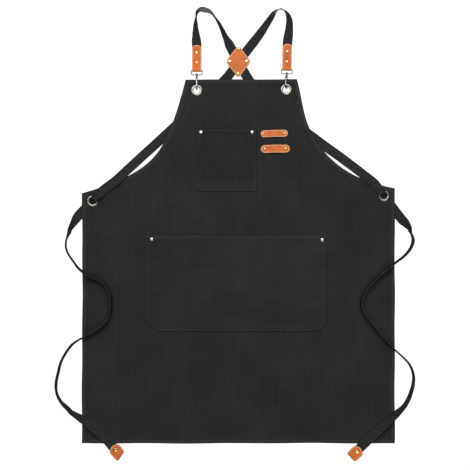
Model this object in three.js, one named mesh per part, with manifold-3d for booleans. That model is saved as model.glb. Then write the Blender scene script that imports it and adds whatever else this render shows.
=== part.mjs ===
// A cross-back canvas work apron, lying front up on a flat surface at z = 0.
// Millimetres, +Z up. X runs across the apron and +Y from the hem to the shoulders.
import * as THREE from 'three';
import { mergeVertices } from 'three/addons/utils/BufferGeometryUtils.js';
import Module from 'manifold-3d';

const wasm = await Module();
wasm.setup();
const { degToRad, smoothstep } = THREE.MathUtils;

// Thicknesses and clearances
const CANVAS = 1.2;
const LEATHER = 2;
const WEB = 1.8;
const WEB_WIDTH = 21;
const GAP = 0.3;
const TALL = 80;

// The body panel: its straight edges, then the corners and curves of the armholes
const BODY = { left: -336.5, right: 351.3, hem: -459.3, top: 340.7 };
const ARMHOLES = {
  left: { bib: [-108, 340.7], bibPull: [-153.8, 180.8], sidePull: [-160.1, 140.4], side: [-334.9, 90.4] },
  right: { bib: [135.4, 340.7], bibPull: [154.6, 295], sidePull: [136.5, 140.8], side: [350.6, 101.4] },
};

// The straps and hardware under the upper half hold it off the surface, and the bib stands highest
const UPPER = { lift: 3, from: -90, to: 86 };
const BIB = { lift: 1.4, from: 120, to: 175 };

// Metal rings: where they sit, and how high they hold the cloth around them
const RINGS = [
  { name: 'bib_grommet_left', x: -84, y: 316.6, lift: 8.4, flat: 18, reach: 90 },
  { name: 'bib_grommet_right', x: 112.5, y: 318.6, lift: 7.7, flat: 18, reach: 90 },
  { name: 'side_grommet_left', x: -313.1, y: 73.6, lift: 6.4, flat: 22, reach: 95 },
  { name: 'side_grommet_right', x: 326.8, y: 85.3, lift: 6.4, flat: 22, reach: 95 },
];
const RING = { hole: 7.2, barrel: 7.9, seat: 8.3, flange: 12.4, crown: 1.6, foot: 1.1, sides: 16 };

// Pockets: box, slack of the mouth, and the cut off each lower corner as width and height
const POCKETS = [
  { name: 'chest_pocket', left: -83.8, right: 47.4, low: 94.8, top: 232.6, slack: 2,
    leftCut: [0, 0], rightCut: [0, 0], step: 22 },
  { name: 'front_pocket', left: -197.3, right: 200.7, low: -212.6, top: -1.1, slack: 3,
    leftCut: [23, 27], rightCut: [17, 18], step: 36 },
];
const POCKET_RIVETS = [[-74.8, 224.9], [37.7, 224.9], [-183.2, -10.1], [191.8, -11.5]];

// Leather loops for tools, each with a rivet near either end
const TOOL_LOOPS = [
  { name: 'tool_loop_upper', x: 86.9, y: 221.6, turn: 2.2 },
  { name: 'tool_loop_lower', x: 89.1, y: 187.9, turn: 1.3 },
];
const TOOL_LOOP = { length: 64, width: 18.4, rivet: 23.2, bow: 4.6, flatTo: 8, rampTo: 18.5 };

// Rivets: shank and the holes for it, then the front and back caps
const RIVET = { shank: 1.35, hole: 1.75, back: 3.4, backRise: 0.8, sides: 8 };
const RIVET_CAPS = { pocket: 3.9, tool: 3.6, tab: 3.9, patch: 4.3, tip: 4.8 };
const CAP_RISE = 1.6;

// The leather diamond over and under the strap crossing
const PATCH = { x: 7.3, y: 379.7, halfWidth: 28.2, halfHeight: 36.2, corner: 0.2, backLow: 1.3 };
const PATCH_RIVETS = [[0.9, 28.4], [-18.6, 0.3], [18.4, 0.8], [-0.4, -26.2]];
const LOWER_STRAP = PATCH.backLow + LEATHER + GAP;
const UPPER_STRAP = LOWER_STRAP + WEB + GAP;
const PATCH_FRONT_LOW = UPPER_STRAP + WEB + GAP;

// Snap hooks, measured along the strap from the ring's centre (s) and up from the neck (n)
const FASTENINGS = [
  { side: 'left', ring: RINGS[0], turn: 0, roll: 0, slack: 2.4 },
  { side: 'right', ring: RINGS[1], turn: -1.6, roll: -20, slack: 1.8 },
];
const NECK = { z: 7.5, radius: 1.3, from: 31, head: 2.2, headFrom: 38.2, headTo: 39.4 };
const HOOK = { half: 1.7, spineIn: 4.7, spineOut: 7.7, armIn: -4.6, armOut: -7, bend: 10.65, tip: 13.2 };
const PIVOT = { s: 29.6, n: -3.9, pin: 0.8, pinHalf: 2.2, lugHalf: 0.7, clear: -1.5 };
const GATE = { half: 1.8, slotHalf: 1, head: 2.1, hole: 1.1, tip: 13.5, slotFrom: 24.6 };
const LOOP = { width: 25.8, low: 35.2, high: 48.4, bar: 2.3, thick: 2.2, boss: 2.9, bossLow: 34.4, bossHigh: 37.8 };
const LOOP_BORE = 1.6;

// Leather folded round the snap's loop, and over the free ends
const TAB = { from: 42.9, length: 58.6, width: 20.6, inner: 1.5, arch: 5, rivets: [19.6, 41.6] };
const TIP = { length: 30, width: 27.4, inner: 1.3, arch: 10, rivet: 19.5, z: 4.6 };
const TIPS = [
  { side: 'left', x: -251.2, y: -491.3, turn: 54.8 },
  { side: 'right', x: 255.8, y: -492.4, turn: -46.2 },
];
const TIP_LIFT = TIP.z - WEB / 2;
const TAB_LIFT = NECK.z - WEB / 2;

// How a strap goes through a side ring, folded in half lengthwise:
// distance past the ring's centre, height of its middle and its folded width
const RING_PASS = [
  { past: -30, z: 8.9, width: 21 },
  { past: -15, z: 10.9, width: 17 },
  { past: -8.5, z: 12.1, width: 12 },
  { past: -3.6, z: 11.1, width: 10 },
  { past: 0, z: 7, width: 10 },
  { past: 3.6, z: 3.3, width: 11 },
  { past: 9, z: 2.3, width: 15 },
  { past: 18, z: 1.3, width: 20.5 },
  { past: 26, z: 1.1, width: 21 },
];

// Strap routes. Columns: x, y, height of the lowest edge, and degrees of bank from flat.
// edgeUp says which edge rises with the bank: 1 for the right of the way it runs, -1 for the left.
const ROUTE_COLUMNS = ['x', 'y', 'lift', 'bank'];
const STRAPS = [
  {
    name: 'strap_left',
    edgeUp: 1,
    ring: { ...RINGS[3], heading: [0.62, -0.785] },
    shoulder: [
      [-84, 366, TAB_LIFT, 0],
      [-84, 416, TAB_LIFT, 0],
      [-84.8, 426, 4.6, 14],
      [-85.6, 438, 0.6, 40],
      [-86.4, 456, 0.2, 56],
      [-84.9, 479, 0.2, 84],
      [-80.3, 491.3, 0.2, 64],
      [-72.3, 495.3, 0.2, 48],
      [-62, 492.6, 0.2, 52],
      [-52.9, 487, 0.2, 70],
      [-44.6, 478.8, 0.2, 84],
      [-30.9, 459.7, 0.2, 58],
      [-19.2, 433.7, 0.4, 46],
      [-9.6, 412, LOWER_STRAP, 0],
      [-5.4, 403.4, LOWER_STRAP, 0],
      [7.3, 379.7, LOWER_STRAP, 0],
      [21.4, 355, LOWER_STRAP, 0],
      [28.2, 344.2, 0.6, 0],
      [34.2, 335.4, 0.3, 0],
      [59.5, 301, 0.2, 0],
      [103.6, 265.7, 0.2, 0],
      [158.8, 223.8, 0.2, 0],
      [191.8, 199.1, 0.6, 0],
      [231.5, 170.2, 3, 0],
      [258, 149.9, 5.4, 0],
      [281, 132, 6.7, 0],
    ],
    tie: [
      [367.1, 33.1, 0.2, 9],
      [381.5, 17, 0.2, 52],
      [389.8, 1.8, 0.2, 84],
      [393.2, -13.7, 0.2, 84],
      [387.6, -30.9, 0.2, 86],
      [373, -49, 0.3, 88],
      [356.5, -61.8, 1.8, 88],
      [308.7, -101.4, 1.7, 88],
      [288.9, -126.3, 1.6, 88],
      [280.3, -150, 1.6, 88],
      [284.4, -173.1, 1.6, 88],
      [299.9, -195.6, 1.6, 88],
      [344, -245.9, 1.7, 88],
      [366.5, -266.5, 0.6, 87],
      [386.5, -288.4, 0.2, 86],
      [394.5, -313.1, 0.2, 86],
      [391.6, -339.6, 0.2, 82],
      [383.7, -363.8, 0.3, 74],
      [371, -382, 0.8, 58],
      [351.5, -399.1, 1.7, 26],
      [330.8, -416.1, 1.7, 5],
      [293.3, -450.9, 1.9, 0],
      [276.4, -470.5, TIP_LIFT, 0],
      [259.4, -489, TIP_LIFT, 0],
    ],
  },
  {
    name: 'strap_right',
    edgeUp: -1,
    ring: { ...RINGS[2], heading: [-0.712, -0.702] },
    shoulder: [
      [114, 370.6, TAB_LIFT, 0],
      [115.3, 421, TAB_LIFT, 0],
      [116.6, 432, 4.2, 13],
      [119.2, 454, 0.3, 36],
      [118.4, 475, 0.2, 62],
      [111.6, 489, 0.2, 78],
      [100.1, 496, 0.2, 87],
      [88.6, 490.6, 0.2, 70],
      [78.9, 475.8, 0.2, 54],
      [69, 461.1, 0.2, 40],
      [52, 437, 1.6, 20],
      [31, 410, UPPER_STRAP, 0],
      [24.6, 401.6, UPPER_STRAP, 0],
      [7.3, 379.7, UPPER_STRAP, 0],
      [-4.6, 361.8, UPPER_STRAP, 0],
      [-15.6, 348.2, 1, 0],
      [-24.6, 338.4, 0.3, 0],
      [-50.7, 313.6, 0.2, 0],
      [-99.2, 269, 0.2, 0],
      [-143.3, 228, 0.2, 0],
      [-172, 201.3, 0.6, 0],
      [-205.1, 170.9, 3, 0],
      [-235.9, 142.2, 5.4, 0],
      [-262, 118, 6.6, 0],
    ],
    tie: [
      [-345.5, 39.7, 0.2, 6],
      [-355, 23.8, 0.2, 52],
      [-365.6, 6, 0.2, 74],
      [-372.2, -9.5, 0.2, 82],
      [-373.7, -24.9, 0.2, 87],
      [-370, -39.2, 0.2, 88],
      [-357.7, -58.4, 0.4, 88],
      [-344.9, -75, 1.8, 88],
      [-325.7, -92.6, 1.7, 88],
      [-292.6, -111.6, 1.6, 88],
      [-278.5, -132, 1.6, 88],
      [-274.4, -160, 1.6, 88],
      [-279.6, -188.1, 1.6, 88],
      [-308.7, -213.9, 1.6, 88],
      [-344, -231.8, 1.6, 88],
      [-360, -243, 0.4, 87],
      [-383.2, -278.5, 0.2, 86],
      [-390.3, -303.8, 0.2, 86],
      [-395.4, -329.6, 0.2, 86],
      [-393.8, -350.6, 0.2, 84],
      [-385.2, -369.3, 0.2, 78],
      [-371.5, -384.3, 0.3, 68],
      [-354, -396.4, 0.9, 52],
      [-333, -409, 1.7, 28],
      [-311.8, -426.2, 1.7, 5],
      [-289, -447, 1.9, 0],
      [-272.5, -470, TIP_LIFT, 0],
      [-255.3, -488.4, TIP_LIFT, 0],
    ],
  },
];
const STRAP_STEP = 13;

const FINISHES = {
  canvas: new THREE.MeshStandardMaterial({ color: 0x2c2c2c, roughness: 0.95, metalness: 0 }),
  webbing: new THREE.MeshStandardMaterial({ color: 0x262627, roughness: 0.85, metalness: 0 }),
  leather: new THREE.MeshStandardMaterial({ color: 0xd9773f, roughness: 0.6, metalness: 0 }),
  brass: new THREE.MeshStandardMaterial({ color: 0xd9bd80, roughness: 0.3, metalness: 1 }),
  steel: new THREE.MeshStandardMaterial({ color: 0xb9b7ae, roughness: 0.3, metalness: 1 }),
};

// Solids for joining and cutting
function toSolid(geometry) {
  const bare = geometry.clone();
  bare.deleteAttribute('normal');
  bare.deleteAttribute('uv');
  const welded = mergeVertices(bare);
  return new wasm.Manifold(new wasm.Mesh({
    numProp: 3,
    vertProperties: new Float32Array(welded.attributes.position.array),
    triVerts: new Uint32Array(welded.index.array),
  }));
}

function toGeometry(solid) {
  const mesh = solid.getMesh();
  const geometry = new THREE.BufferGeometry();
  geometry.setAttribute('position', new THREE.BufferAttribute(mesh.vertProperties, 3));
  geometry.setIndex(new THREE.BufferAttribute(mesh.triVerts, 1));
  geometry.computeVertexNormals();
  return geometry;
}

function meshFromFaces(positions, faces) {
  const geometry = new THREE.BufferGeometry();
  geometry.setAttribute('position', new THREE.Float32BufferAttribute(positions, 3));
  geometry.setIndex(faces);
  geometry.computeVertexNormals();
  return geometry;
}

function upright(radius, sides) {
  return new THREE.CylinderGeometry(radius, radius, TALL, sides).rotateX(Math.PI / 2);
}

function drill(solid, radius, sides, places) {
  return places.reduce(
    (left, [x, y]) => left.subtract(toSolid(upright(radius, sides).translate(x, y, 0))),
    solid,
  );
}

function prism(shape, curveSegments) {
  const options = { depth: TALL, bevelEnabled: false, curveSegments };
  return new THREE.ExtrudeGeometry(shape, options).translate(0, 0, -TALL / 2);
}

// A plate whose outline is drawn along the strap (s) and up (n), centred on its thickness
function sidePlate(shape, thickness, curveSegments) {
  const options = { depth: thickness, bevelEnabled: false, curveSegments };
  const plate = new THREE.ExtrudeGeometry(shape, options).translate(0, 0, -thickness / 2);
  const along = new THREE.Vector3(0, 1, 0);
  const up = new THREE.Vector3(0, 0, 1);
  const across = new THREE.Vector3(1, 0, 0);
  return plate.applyMatrix4(new THREE.Matrix4().makeBasis(along, up, across));
}

function polygon(points) {
  return new THREE.Shape(points.map(([x, y]) => new THREE.Vector2(x, y)));
}

function add(parent, name, geometry, finish) {
  const mesh = new THREE.Mesh(geometry, FINISHES[finish]);
  mesh.name = name;
  parent.add(mesh);
  return mesh;
}

// Height of the cloth's underside above the surface
function clothLift(x, y) {
  let lift = UPPER.lift * smoothstep(y, UPPER.from, UPPER.to) + BIB.lift * smoothstep(y, BIB.from, BIB.to);
  for (const ring of RINGS) {
    const far = Math.hypot(x - ring.x, y - ring.y);
    const hold = 1 - smoothstep(far, ring.flat, ring.reach);
    lift += (ring.lift - lift) * hold;
  }
  return lift;
}

// Grid lines from a start through each stop, evenly spaced within that stop's step
function gridLines(start, stops) {
  const lines = [start];
  for (const { to, step } of stops) {
    const from = lines.at(-1);
    const count = Math.ceil((to - from) / step);
    for (let i = 1; i <= count; i += 1) {
      lines.push(from + ((to - from) * i) / count);
    }
  }
  return lines;
}

// A closed sheet over grid lines, with its underside at the height that lower gives
function sheet(xs, ys, lower, thickness) {
  const positions = [];
  const faces = [];
  const at = (layer, i, j) => (layer * ys.length + j) * xs.length + i;
  const quad = (a, b, c, d) => faces.push(a, b, c, a, c, d);
  for (const rise of [0, thickness]) {
    for (const y of ys) {
      for (const x of xs) {
        positions.push(x, y, lower(x, y) + rise);
      }
    }
  }
  const lastX = xs.length - 1;
  const lastY = ys.length - 1;
  for (let j = 0; j < lastY; j += 1) {
    for (let i = 0; i < lastX; i += 1) {
      quad(at(1, i, j), at(1, i + 1, j), at(1, i + 1, j + 1), at(1, i, j + 1));
      quad(at(0, i, j), at(0, i, j + 1), at(0, i + 1, j + 1), at(0, i + 1, j));
    }
    quad(at(0, 0, j + 1), at(0, 0, j), at(1, 0, j), at(1, 0, j + 1));
    quad(at(0, lastX, j), at(0, lastX, j + 1), at(1, lastX, j + 1), at(1, lastX, j));
  }
  for (let i = 0; i < lastX; i += 1) {
    quad(at(0, i, 0), at(0, i + 1, 0), at(1, i + 1, 0), at(1, i, 0));
    quad(at(0, i + 1, lastY), at(0, i, lastY), at(1, i, lastY), at(1, i + 1, lastY));
  }
  return meshFromFaces(positions, faces);
}

function bodyOutline() {
  const { left, right } = ARMHOLES;
  const shape = new THREE.Shape();
  shape.moveTo(...left.bib);
  shape.bezierCurveTo(...left.bibPull, ...left.sidePull, ...left.side);
  shape.lineTo(BODY.left, BODY.hem);
  shape.lineTo(BODY.right, BODY.hem);
  shape.lineTo(...right.side);
  shape.bezierCurveTo(...right.sidePull, ...right.bibPull, ...right.bib);
  shape.closePath();
  return shape;
}

function buildBody(apron) {
  const margin = 8;
  const xs = gridLines(BODY.left - margin, [
    { to: -275, step: 17 },
    { to: -130, step: 50 },
    { to: -35, step: 19 },
    { to: 65, step: 50 },
    { to: 165, step: 20 },
    { to: 290, step: 50 },
    { to: BODY.right + margin, step: 17 },
  ]);
  const ys = gridLines(BODY.hem - margin, [
    { to: -90, step: 190 },
    { to: 20, step: 28 },
    { to: 122, step: 17 },
    { to: 178, step: 14 },
    { to: 238, step: 60 },
    { to: BODY.top + margin, step: 16 },
  ]);
  const cloth = toSolid(sheet(xs, ys, clothLift, CANVAS));
  const outlined = cloth.intersect(toSolid(prism(bodyOutline(), 16)));
  const rings = RINGS.map(({ x, y }) => [x, y]);
  const rivets = [...POCKET_RIVETS, ...toolRivets()];
  const ringed = drill(outlined, RING.seat, RING.sides, rings);
  add(apron, 'canvas_body', toGeometry(drill(ringed, RIVET.hole, RIVET.sides, rivets)), 'canvas');
}

// A pocket lies on the body and its mouth stands off a little
function pocketLift(pocket, x, y) {
  const across = (x - pocket.left) / (pocket.right - pocket.left);
  const upward = (y - pocket.low) / (pocket.top - pocket.low);
  const slack = pocket.slack * Math.sin(Math.PI * across) * upward ** 2;
  return clothLift(x, y) + CANVAS + GAP + slack;
}

function buildPocket(apron, pocket) {
  const xs = gridLines(pocket.left - 1, [{ to: pocket.right + 1, step: pocket.step }]);
  const ys = gridLines(pocket.low - 1, [{ to: pocket.top + 1, step: pocket.step }]);
  const [leftWide, leftTall] = pocket.leftCut;
  const [rightWide, rightTall] = pocket.rightCut;
  const corners = [
    [pocket.left, pocket.top],
    [pocket.left, pocket.low + leftTall],
    [pocket.left + leftWide, pocket.low],
    [pocket.right - rightWide, pocket.low],
    [pocket.right, pocket.low + rightTall],
    [pocket.right, pocket.top],
  ];
  const cloth = toSolid(sheet(xs, ys, (x, y) => pocketLift(pocket, x, y), CANVAS));
  const outlined = cloth.intersect(toSolid(prism(polygon(corners), 1)));
  const drilled = drill(outlined, RIVET.hole, RIVET.sides, POCKET_RIVETS);
  add(apron, pocket.name, toGeometry(drilled), 'canvas');
}

// A rivet through everything between two heights, caps just clear of it
function rivetGeometry(low, high, cap) {
  const front = high + GAP;
  const back = low - GAP;
  const profile = [
    [0, back - RIVET.backRise],
    [RIVET.back * 0.75, back - RIVET.backRise],
    [RIVET.back, back],
    [RIVET.shank, back],
    [RIVET.shank, front],
    [cap, front],
    [cap * 0.8, front + CAP_RISE * 0.75],
    [0, front + CAP_RISE],
  ];
  const points = profile.map(([r, z]) => new THREE.Vector2(r, z));
  return new THREE.LatheGeometry(points, RIVET.sides).rotateX(Math.PI / 2);
}

function addRivet(parent, name, x, y, low, high, cap) {
  const rivet = add(parent, name, rivetGeometry(low, high, cap), 'brass');
  rivet.position.set(x, y, 0);
}

function buildPocketRivets(apron) {
  POCKET_RIVETS.forEach(([x, y], index) => {
    const pocket = POCKETS[index < 2 ? 0 : 1];
    const high = pocketLift(pocket, x, y) + CANVAS;
    addRivet(apron, `pocket_rivet_${index + 1}`, x, y, clothLift(x, y), high, RIVET_CAPS.pocket);
  });
}

function toolRivets() {
  return TOOL_LOOPS.flatMap(({ x, y, turn }) => [-1, 1].map((end) => [
    x + end * TOOL_LOOP.rivet * Math.cos(degToRad(turn)),
    y + end * TOOL_LOOP.rivet * Math.sin(degToRad(turn)),
  ]));
}

// A strip with round ends, held down at its rivets and bowed up between them
function buildToolLoop(apron, loop) {
  const half = TOOL_LOOP.length / 2;
  const radius = TOOL_LOOP.width / 2;
  const flat = half - radius;
  const shape = new THREE.Shape();
  shape.moveTo(-flat, -radius);
  shape.lineTo(flat, -radius);
  shape.absarc(flat, 0, radius, -Math.PI / 2, Math.PI / 2, false);
  shape.lineTo(-flat, radius);
  shape.absarc(-flat, 0, radius, Math.PI / 2, Math.PI * 1.5, false);
  const seat = clothLift(loop.x, loop.y) + CANVAS + GAP;
  const { bow, flatTo, rampTo } = TOOL_LOOP;
  const lower = (x) => seat + bow * (1 - smoothstep(Math.abs(x), flatTo, rampTo));
  const xs = gridLines(-half - 1, [
    { to: -rampTo, step: 20 },
    { to: rampTo, step: 4.2 },
    { to: half + 1, step: 20 },
  ]);
  const ys = [-radius - 1, radius + 1];
  const strip = toSolid(sheet(xs, ys, lower, LEATHER)).intersect(toSolid(prism(shape, 7)));
  const ends = [[-TOOL_LOOP.rivet, 0], [TOOL_LOOP.rivet, 0]];
  const drilled = drill(strip, RIVET.hole, RIVET.sides, ends);
  const mesh = add(apron, loop.name, toGeometry(drilled), 'leather');
  mesh.position.set(loop.x, loop.y, 0);
  mesh.rotation.z = degToRad(loop.turn);
}

function buildToolRivets(apron) {
  toolRivets().forEach(([x, y], index) => {
    const loop = TOOL_LOOPS[index < 2 ? 0 : 1];
    const high = clothLift(loop.x, loop.y) + CANVAS + GAP + LEATHER;
    addRivet(apron, `tool_rivet_${index + 1}`, x, y, clothLift(x, y), high, RIVET_CAPS.tool);
  });
}

// A two-flanged ring clamped on the cloth's edge
function buildRing(apron, ring) {
  const { hole, barrel, flange, crown, foot } = RING;
  const grip = CANVAS / 2 + GAP;
  const profile = [
    [hole, -grip - foot],
    [flange - 1.6, -grip - foot],
    [flange - 0.4, -grip],
    [barrel, -grip],
    [barrel, grip],
    [flange, grip],
    [flange - 2.2, grip + crown],
    [hole + 1.2, grip + crown],
    [hole, grip + crown * 0.35],
  ];
  profile.push(profile[0]);
  const points = profile.map(([r, z]) => new THREE.Vector2(r, z));
  const geometry = new THREE.LatheGeometry(points, RING.sides).rotateX(Math.PI / 2);
  const mesh = add(apron, ring.name, geometry, 'brass');
  mesh.position.set(ring.x, ring.y, ring.lift + CANVAS / 2);
}

// The leather diamond with rounded corners
function patchShape() {
  const { halfWidth, halfHeight, corner } = PATCH;
  const points = [[0, halfHeight], [-halfWidth, 0], [0, -halfHeight], [halfWidth, 0]]
    .map(([x, y]) => new THREE.Vector2(x, y));
  const shape = new THREE.Shape();
  points.forEach((point, index) => {
    const before = points[(index + 3) % 4];
    const after = points[(index + 1) % 4];
    const start = point.clone().lerp(before, corner);
    const end = point.clone().lerp(after, corner);
    if (index === 0) {
      shape.moveTo(start.x, start.y);
    } else {
      shape.lineTo(start.x, start.y);
    }
    shape.quadraticCurveTo(point.x, point.y, end.x, end.y);
  });
  shape.closePath();
  return shape;
}

function buildPatch(apron) {
  const leaves = [['cross_patch_back', PATCH.backLow], ['cross_patch_front', PATCH_FRONT_LOW]];
  for (const [name, low] of leaves) {
    const options = { depth: LEATHER, bevelEnabled: false, curveSegments: 6 };
    const leaf = toSolid(new THREE.ExtrudeGeometry(patchShape(), options));
    const mesh = add(apron, name, toGeometry(drill(leaf, RIVET.hole, RIVET.sides, PATCH_RIVETS)), 'leather');
    mesh.position.set(PATCH.x, PATCH.y, low);
  }
  PATCH_RIVETS.forEach(([x, y], index) => {
    const high = PATCH_FRONT_LOW + LEATHER;
    const name = `patch_rivet_${index + 1}`;
    addRivet(apron, name, PATCH.x + x, PATCH.y + y, PATCH.backLow, high, RIVET_CAPS.patch);
  });
}

// Leather folded in two: the fold is at s = 0 and both leaves end in an arch
function foldedLeather({ width, length, inner, arch }, holes) {
  const outer = inner + LEATHER;
  const fold = new THREE.Shape();
  fold.moveTo(length, outer);
  fold.lineTo(outer, outer);
  fold.absarc(outer, 0, outer, Math.PI / 2, Math.PI * 1.5, false);
  fold.lineTo(length, -outer);
  fold.lineTo(length, -inner);
  fold.lineTo(outer, -inner);
  fold.absarc(outer, 0, inner, Math.PI * 1.5, Math.PI / 2, true);
  fold.lineTo(length, inner);
  fold.closePath();
  const outline = new THREE.Shape();
  outline.moveTo(width / 2, -1);
  outline.lineTo(width / 2, length - arch);
  outline.absellipse(0, length - arch, width / 2, arch, 0, Math.PI, false, 0);
  outline.lineTo(-width / 2, -1);
  outline.closePath();
  const leaves = toSolid(sidePlate(fold, width + 2, 5)).intersect(toSolid(prism(outline, 8)));
  return toGeometry(drill(leaves, RIVET.hole, RIVET.sides, holes));
}

function buildTip(apron, tip, index) {
  const group = new THREE.Group();
  group.position.set(tip.x, tip.y, TIP.z);
  group.rotation.z = degToRad(tip.turn);
  apron.add(group);
  add(group, `tie_tip_${tip.side}`, foldedLeather(TIP, [[0, TIP.rivet]]), 'leather');
  const reach = TIP.inner + LEATHER;
  addRivet(group, `tip_rivet_${index + 1}`, 0, TIP.rivet, -reach, reach, RIVET_CAPS.tip);
}

function tipRivetPlace(tip) {
  const turn = degToRad(tip.turn);
  return [tip.x - TIP.rivet * Math.sin(turn), tip.y + TIP.rivet * Math.cos(turn)];
}

function tabRivetPlaces({ ring, turn, slack }) {
  return TAB.rivets.map((along) => {
    const reach = TAB.from + along;
    return [
      ring.x - reach * Math.sin(degToRad(turn)),
      ring.y + reach * Math.cos(degToRad(turn)) - slack,
    ];
  });
}

// The strap loop of the snap: a flat rounded frame with a bored boss for the swivel
function loopGeometry() {
  const { width, low, high, bar, thick, boss, bossLow, bossHigh } = LOOP;
  const frame = roundedBox(-width / 2, low, width / 2, high, 3.2, THREE.Shape);
  frame.holes.push(roundedBox(-width / 2 + bar, low + bar, width / 2 - bar, high - bar, 1.2, THREE.Path));
  const options = { depth: thick, bevelEnabled: false, curveSegments: 3 };
  const plate = new THREE.ExtrudeGeometry(frame, options).translate(0, 0, -thick / 2);
  const middle = (bossLow + bossHigh) / 2;
  const tall = bossHigh - bossLow;
  const sleeve = new THREE.CylinderGeometry(boss, boss, tall, 12).translate(0, middle, 0);
  const bore = new THREE.CylinderGeometry(LOOP_BORE, LOOP_BORE, tall * 3, 12).translate(0, middle, 0);
  return toGeometry(toSolid(plate).add(toSolid(sleeve)).subtract(toSolid(bore)));
}

function roundedBox(left, low, right, high, radius, Kind) {
  const path = new Kind();
  path.moveTo(left + radius, low);
  path.lineTo(right - radius, low);
  path.absarc(right - radius, low + radius, radius, -Math.PI / 2, 0, false);
  path.lineTo(right, high - radius);
  path.absarc(right - radius, high - radius, radius, 0, Math.PI / 2, false);
  path.lineTo(left + radius, high);
  path.absarc(left + radius, high - radius, radius, Math.PI / 2, Math.PI, false);
  path.lineTo(left, low + radius);
  path.absarc(left + radius, low + radius, radius, Math.PI, Math.PI * 1.5, false);
  return path;
}

// The hook in side view: spine, bend, short arm, and the shoulder that carries the gate
function hookShape() {
  const { spineIn, spineOut, armIn, armOut, bend, tip } = HOOK;
  const shape = new THREE.Shape();
  shape.moveTo(27, spineOut);
  shape.lineTo(bend, spineOut);
  shape.absarc(bend, (spineOut + armOut) / 2, (spineOut - armOut) / 2, Math.PI / 2, Math.PI * 1.5, false);
  shape.lineTo(tip, armOut);
  shape.lineTo(tip, armIn);
  shape.lineTo(bend, armIn);
  shape.absarc(bend, (spineIn + armIn) / 2, (spineIn - armIn) / 2, Math.PI * 1.5, Math.PI / 2, true);
  shape.lineTo(25, spineIn);
  shape.lineTo(27.4, 3);
  shape.lineTo(27.4, -3.4);
  shape.lineTo(28.4, -5.4);
  shape.lineTo(30.8, -5.4);
  shape.lineTo(31.8, -4);
  shape.lineTo(32.2, -1.4);
  shape.lineTo(32.2, 1.6);
  shape.lineTo(30, 5.6);
  shape.closePath();
  return shape;
}

function acrossPin(radius, half) {
  return new THREE.CylinderGeometry(radius, radius, half * 2, 10)
    .rotateZ(Math.PI / 2)
    .translate(0, PIVOT.s, PIVOT.n);
}

function box(width, depth, height, x, y, z) {
  return new THREE.BoxGeometry(width, depth, height).translate(x, y, z);
}

function hookGeometry() {
  let hook = toSolid(sidePlate(hookShape(), HOOK.half * 2, 8));
  const cheek = HOOK.half;
  for (const side of [-1, 1]) {
    const relief = box(cheek * 2, 12, 10, side * (PIVOT.lugHalf + cheek), 30, PIVOT.clear - 5);
    hook = hook.subtract(toSolid(relief));
  }
  const neckLength = NECK.headTo - NECK.from;
  const neckMiddle = (NECK.headTo + NECK.from) / 2;
  const neck = new THREE.CylinderGeometry(NECK.radius, NECK.radius, neckLength, 12).translate(0, neckMiddle, 0);
  const headLength = NECK.headTo - NECK.headFrom;
  const head = new THREE.CylinderGeometry(NECK.head, NECK.head, headLength, 12)
    .translate(0, (NECK.headTo + NECK.headFrom) / 2, 0);
  hook = hook.add(toSolid(neck)).add(toSolid(head)).add(toSolid(acrossPin(PIVOT.pin, PIVOT.pinHalf)));
  return toGeometry(hook);
}

// The sprung gate: a lever forked over the hook's lug, closing on the end of the arm
function gateGeometry() {
  const { half, slotHalf, head, hole, tip, slotFrom } = GATE;
  const shape = new THREE.Shape();
  shape.moveTo(tip, HOOK.armOut + 0.1);
  shape.lineTo(PIVOT.s - head * 0.9, PIVOT.n - head * 0.44);
  shape.absarc(PIVOT.s, PIVOT.n, head, Math.PI * 1.15, Math.PI * 0.8, false);
  shape.lineTo(tip, HOOK.armIn - 0.1);
  shape.closePath();
  const slotLength = 12;
  const slot = box(slotHalf * 2, slotLength, 20, 0, slotFrom + slotLength / 2, 0);
  const lever = toSolid(sidePlate(shape, half * 2, 10))
    .subtract(toSolid(slot))
    .subtract(toSolid(acrossPin(hole, half * 2)));
  return toGeometry(lever);
}

function buildFastening(apron, fastening, index) {
  const { side, ring, turn, roll, slack } = fastening;
  const group = new THREE.Group();
  group.position.set(ring.x, ring.y - slack, NECK.z);
  group.rotation.z = degToRad(turn);
  apron.add(group);
  add(group, `snap_loop_${side}`, loopGeometry(), 'steel');
  const swivel = new THREE.Group();
  swivel.rotation.y = degToRad(roll);
  group.add(swivel);
  add(swivel, `snap_hook_${side}`, hookGeometry(), 'steel');
  add(swivel, `snap_gate_${side}`, gateGeometry(), 'steel');
  const holes = TAB.rivets.map((along) => [0, along]);
  add(group, `strap_tab_${side}`, foldedLeather(TAB, holes), 'leather').position.y = TAB.from;
  const reach = TAB.inner + LEATHER;
  TAB.rivets.forEach((along, place) => {
    const name = `tab_rivet_${index * 2 + place + 1}`;
    addRivet(group, name, 0, TAB.from + along, -reach, reach, RIVET_CAPS.tab);
  });
}

// Every row of a strap, with the stretch through its side ring worked out from the ring
function strapRows(strap) {
  const named = (row) => Object.fromEntries(ROUTE_COLUMNS.map((column, i) => [column, row[i]]));
  const { x, y, heading } = strap.ring;
  const through = RING_PASS.map(({ past, z, width }) => ({
    x: x + heading[0] * past,
    y: y + heading[1] * past,
    lift: z - webThickness(width) / 2,
    bank: 0,
    width,
  }));
  return [...strap.shoulder.map(named), ...through, ...strap.tie.map(named)];
}

// Folded narrower, the webbing is thicker by as much
function webThickness(width) {
  return (WEB * WEB_WIDTH) / width;
}

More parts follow.
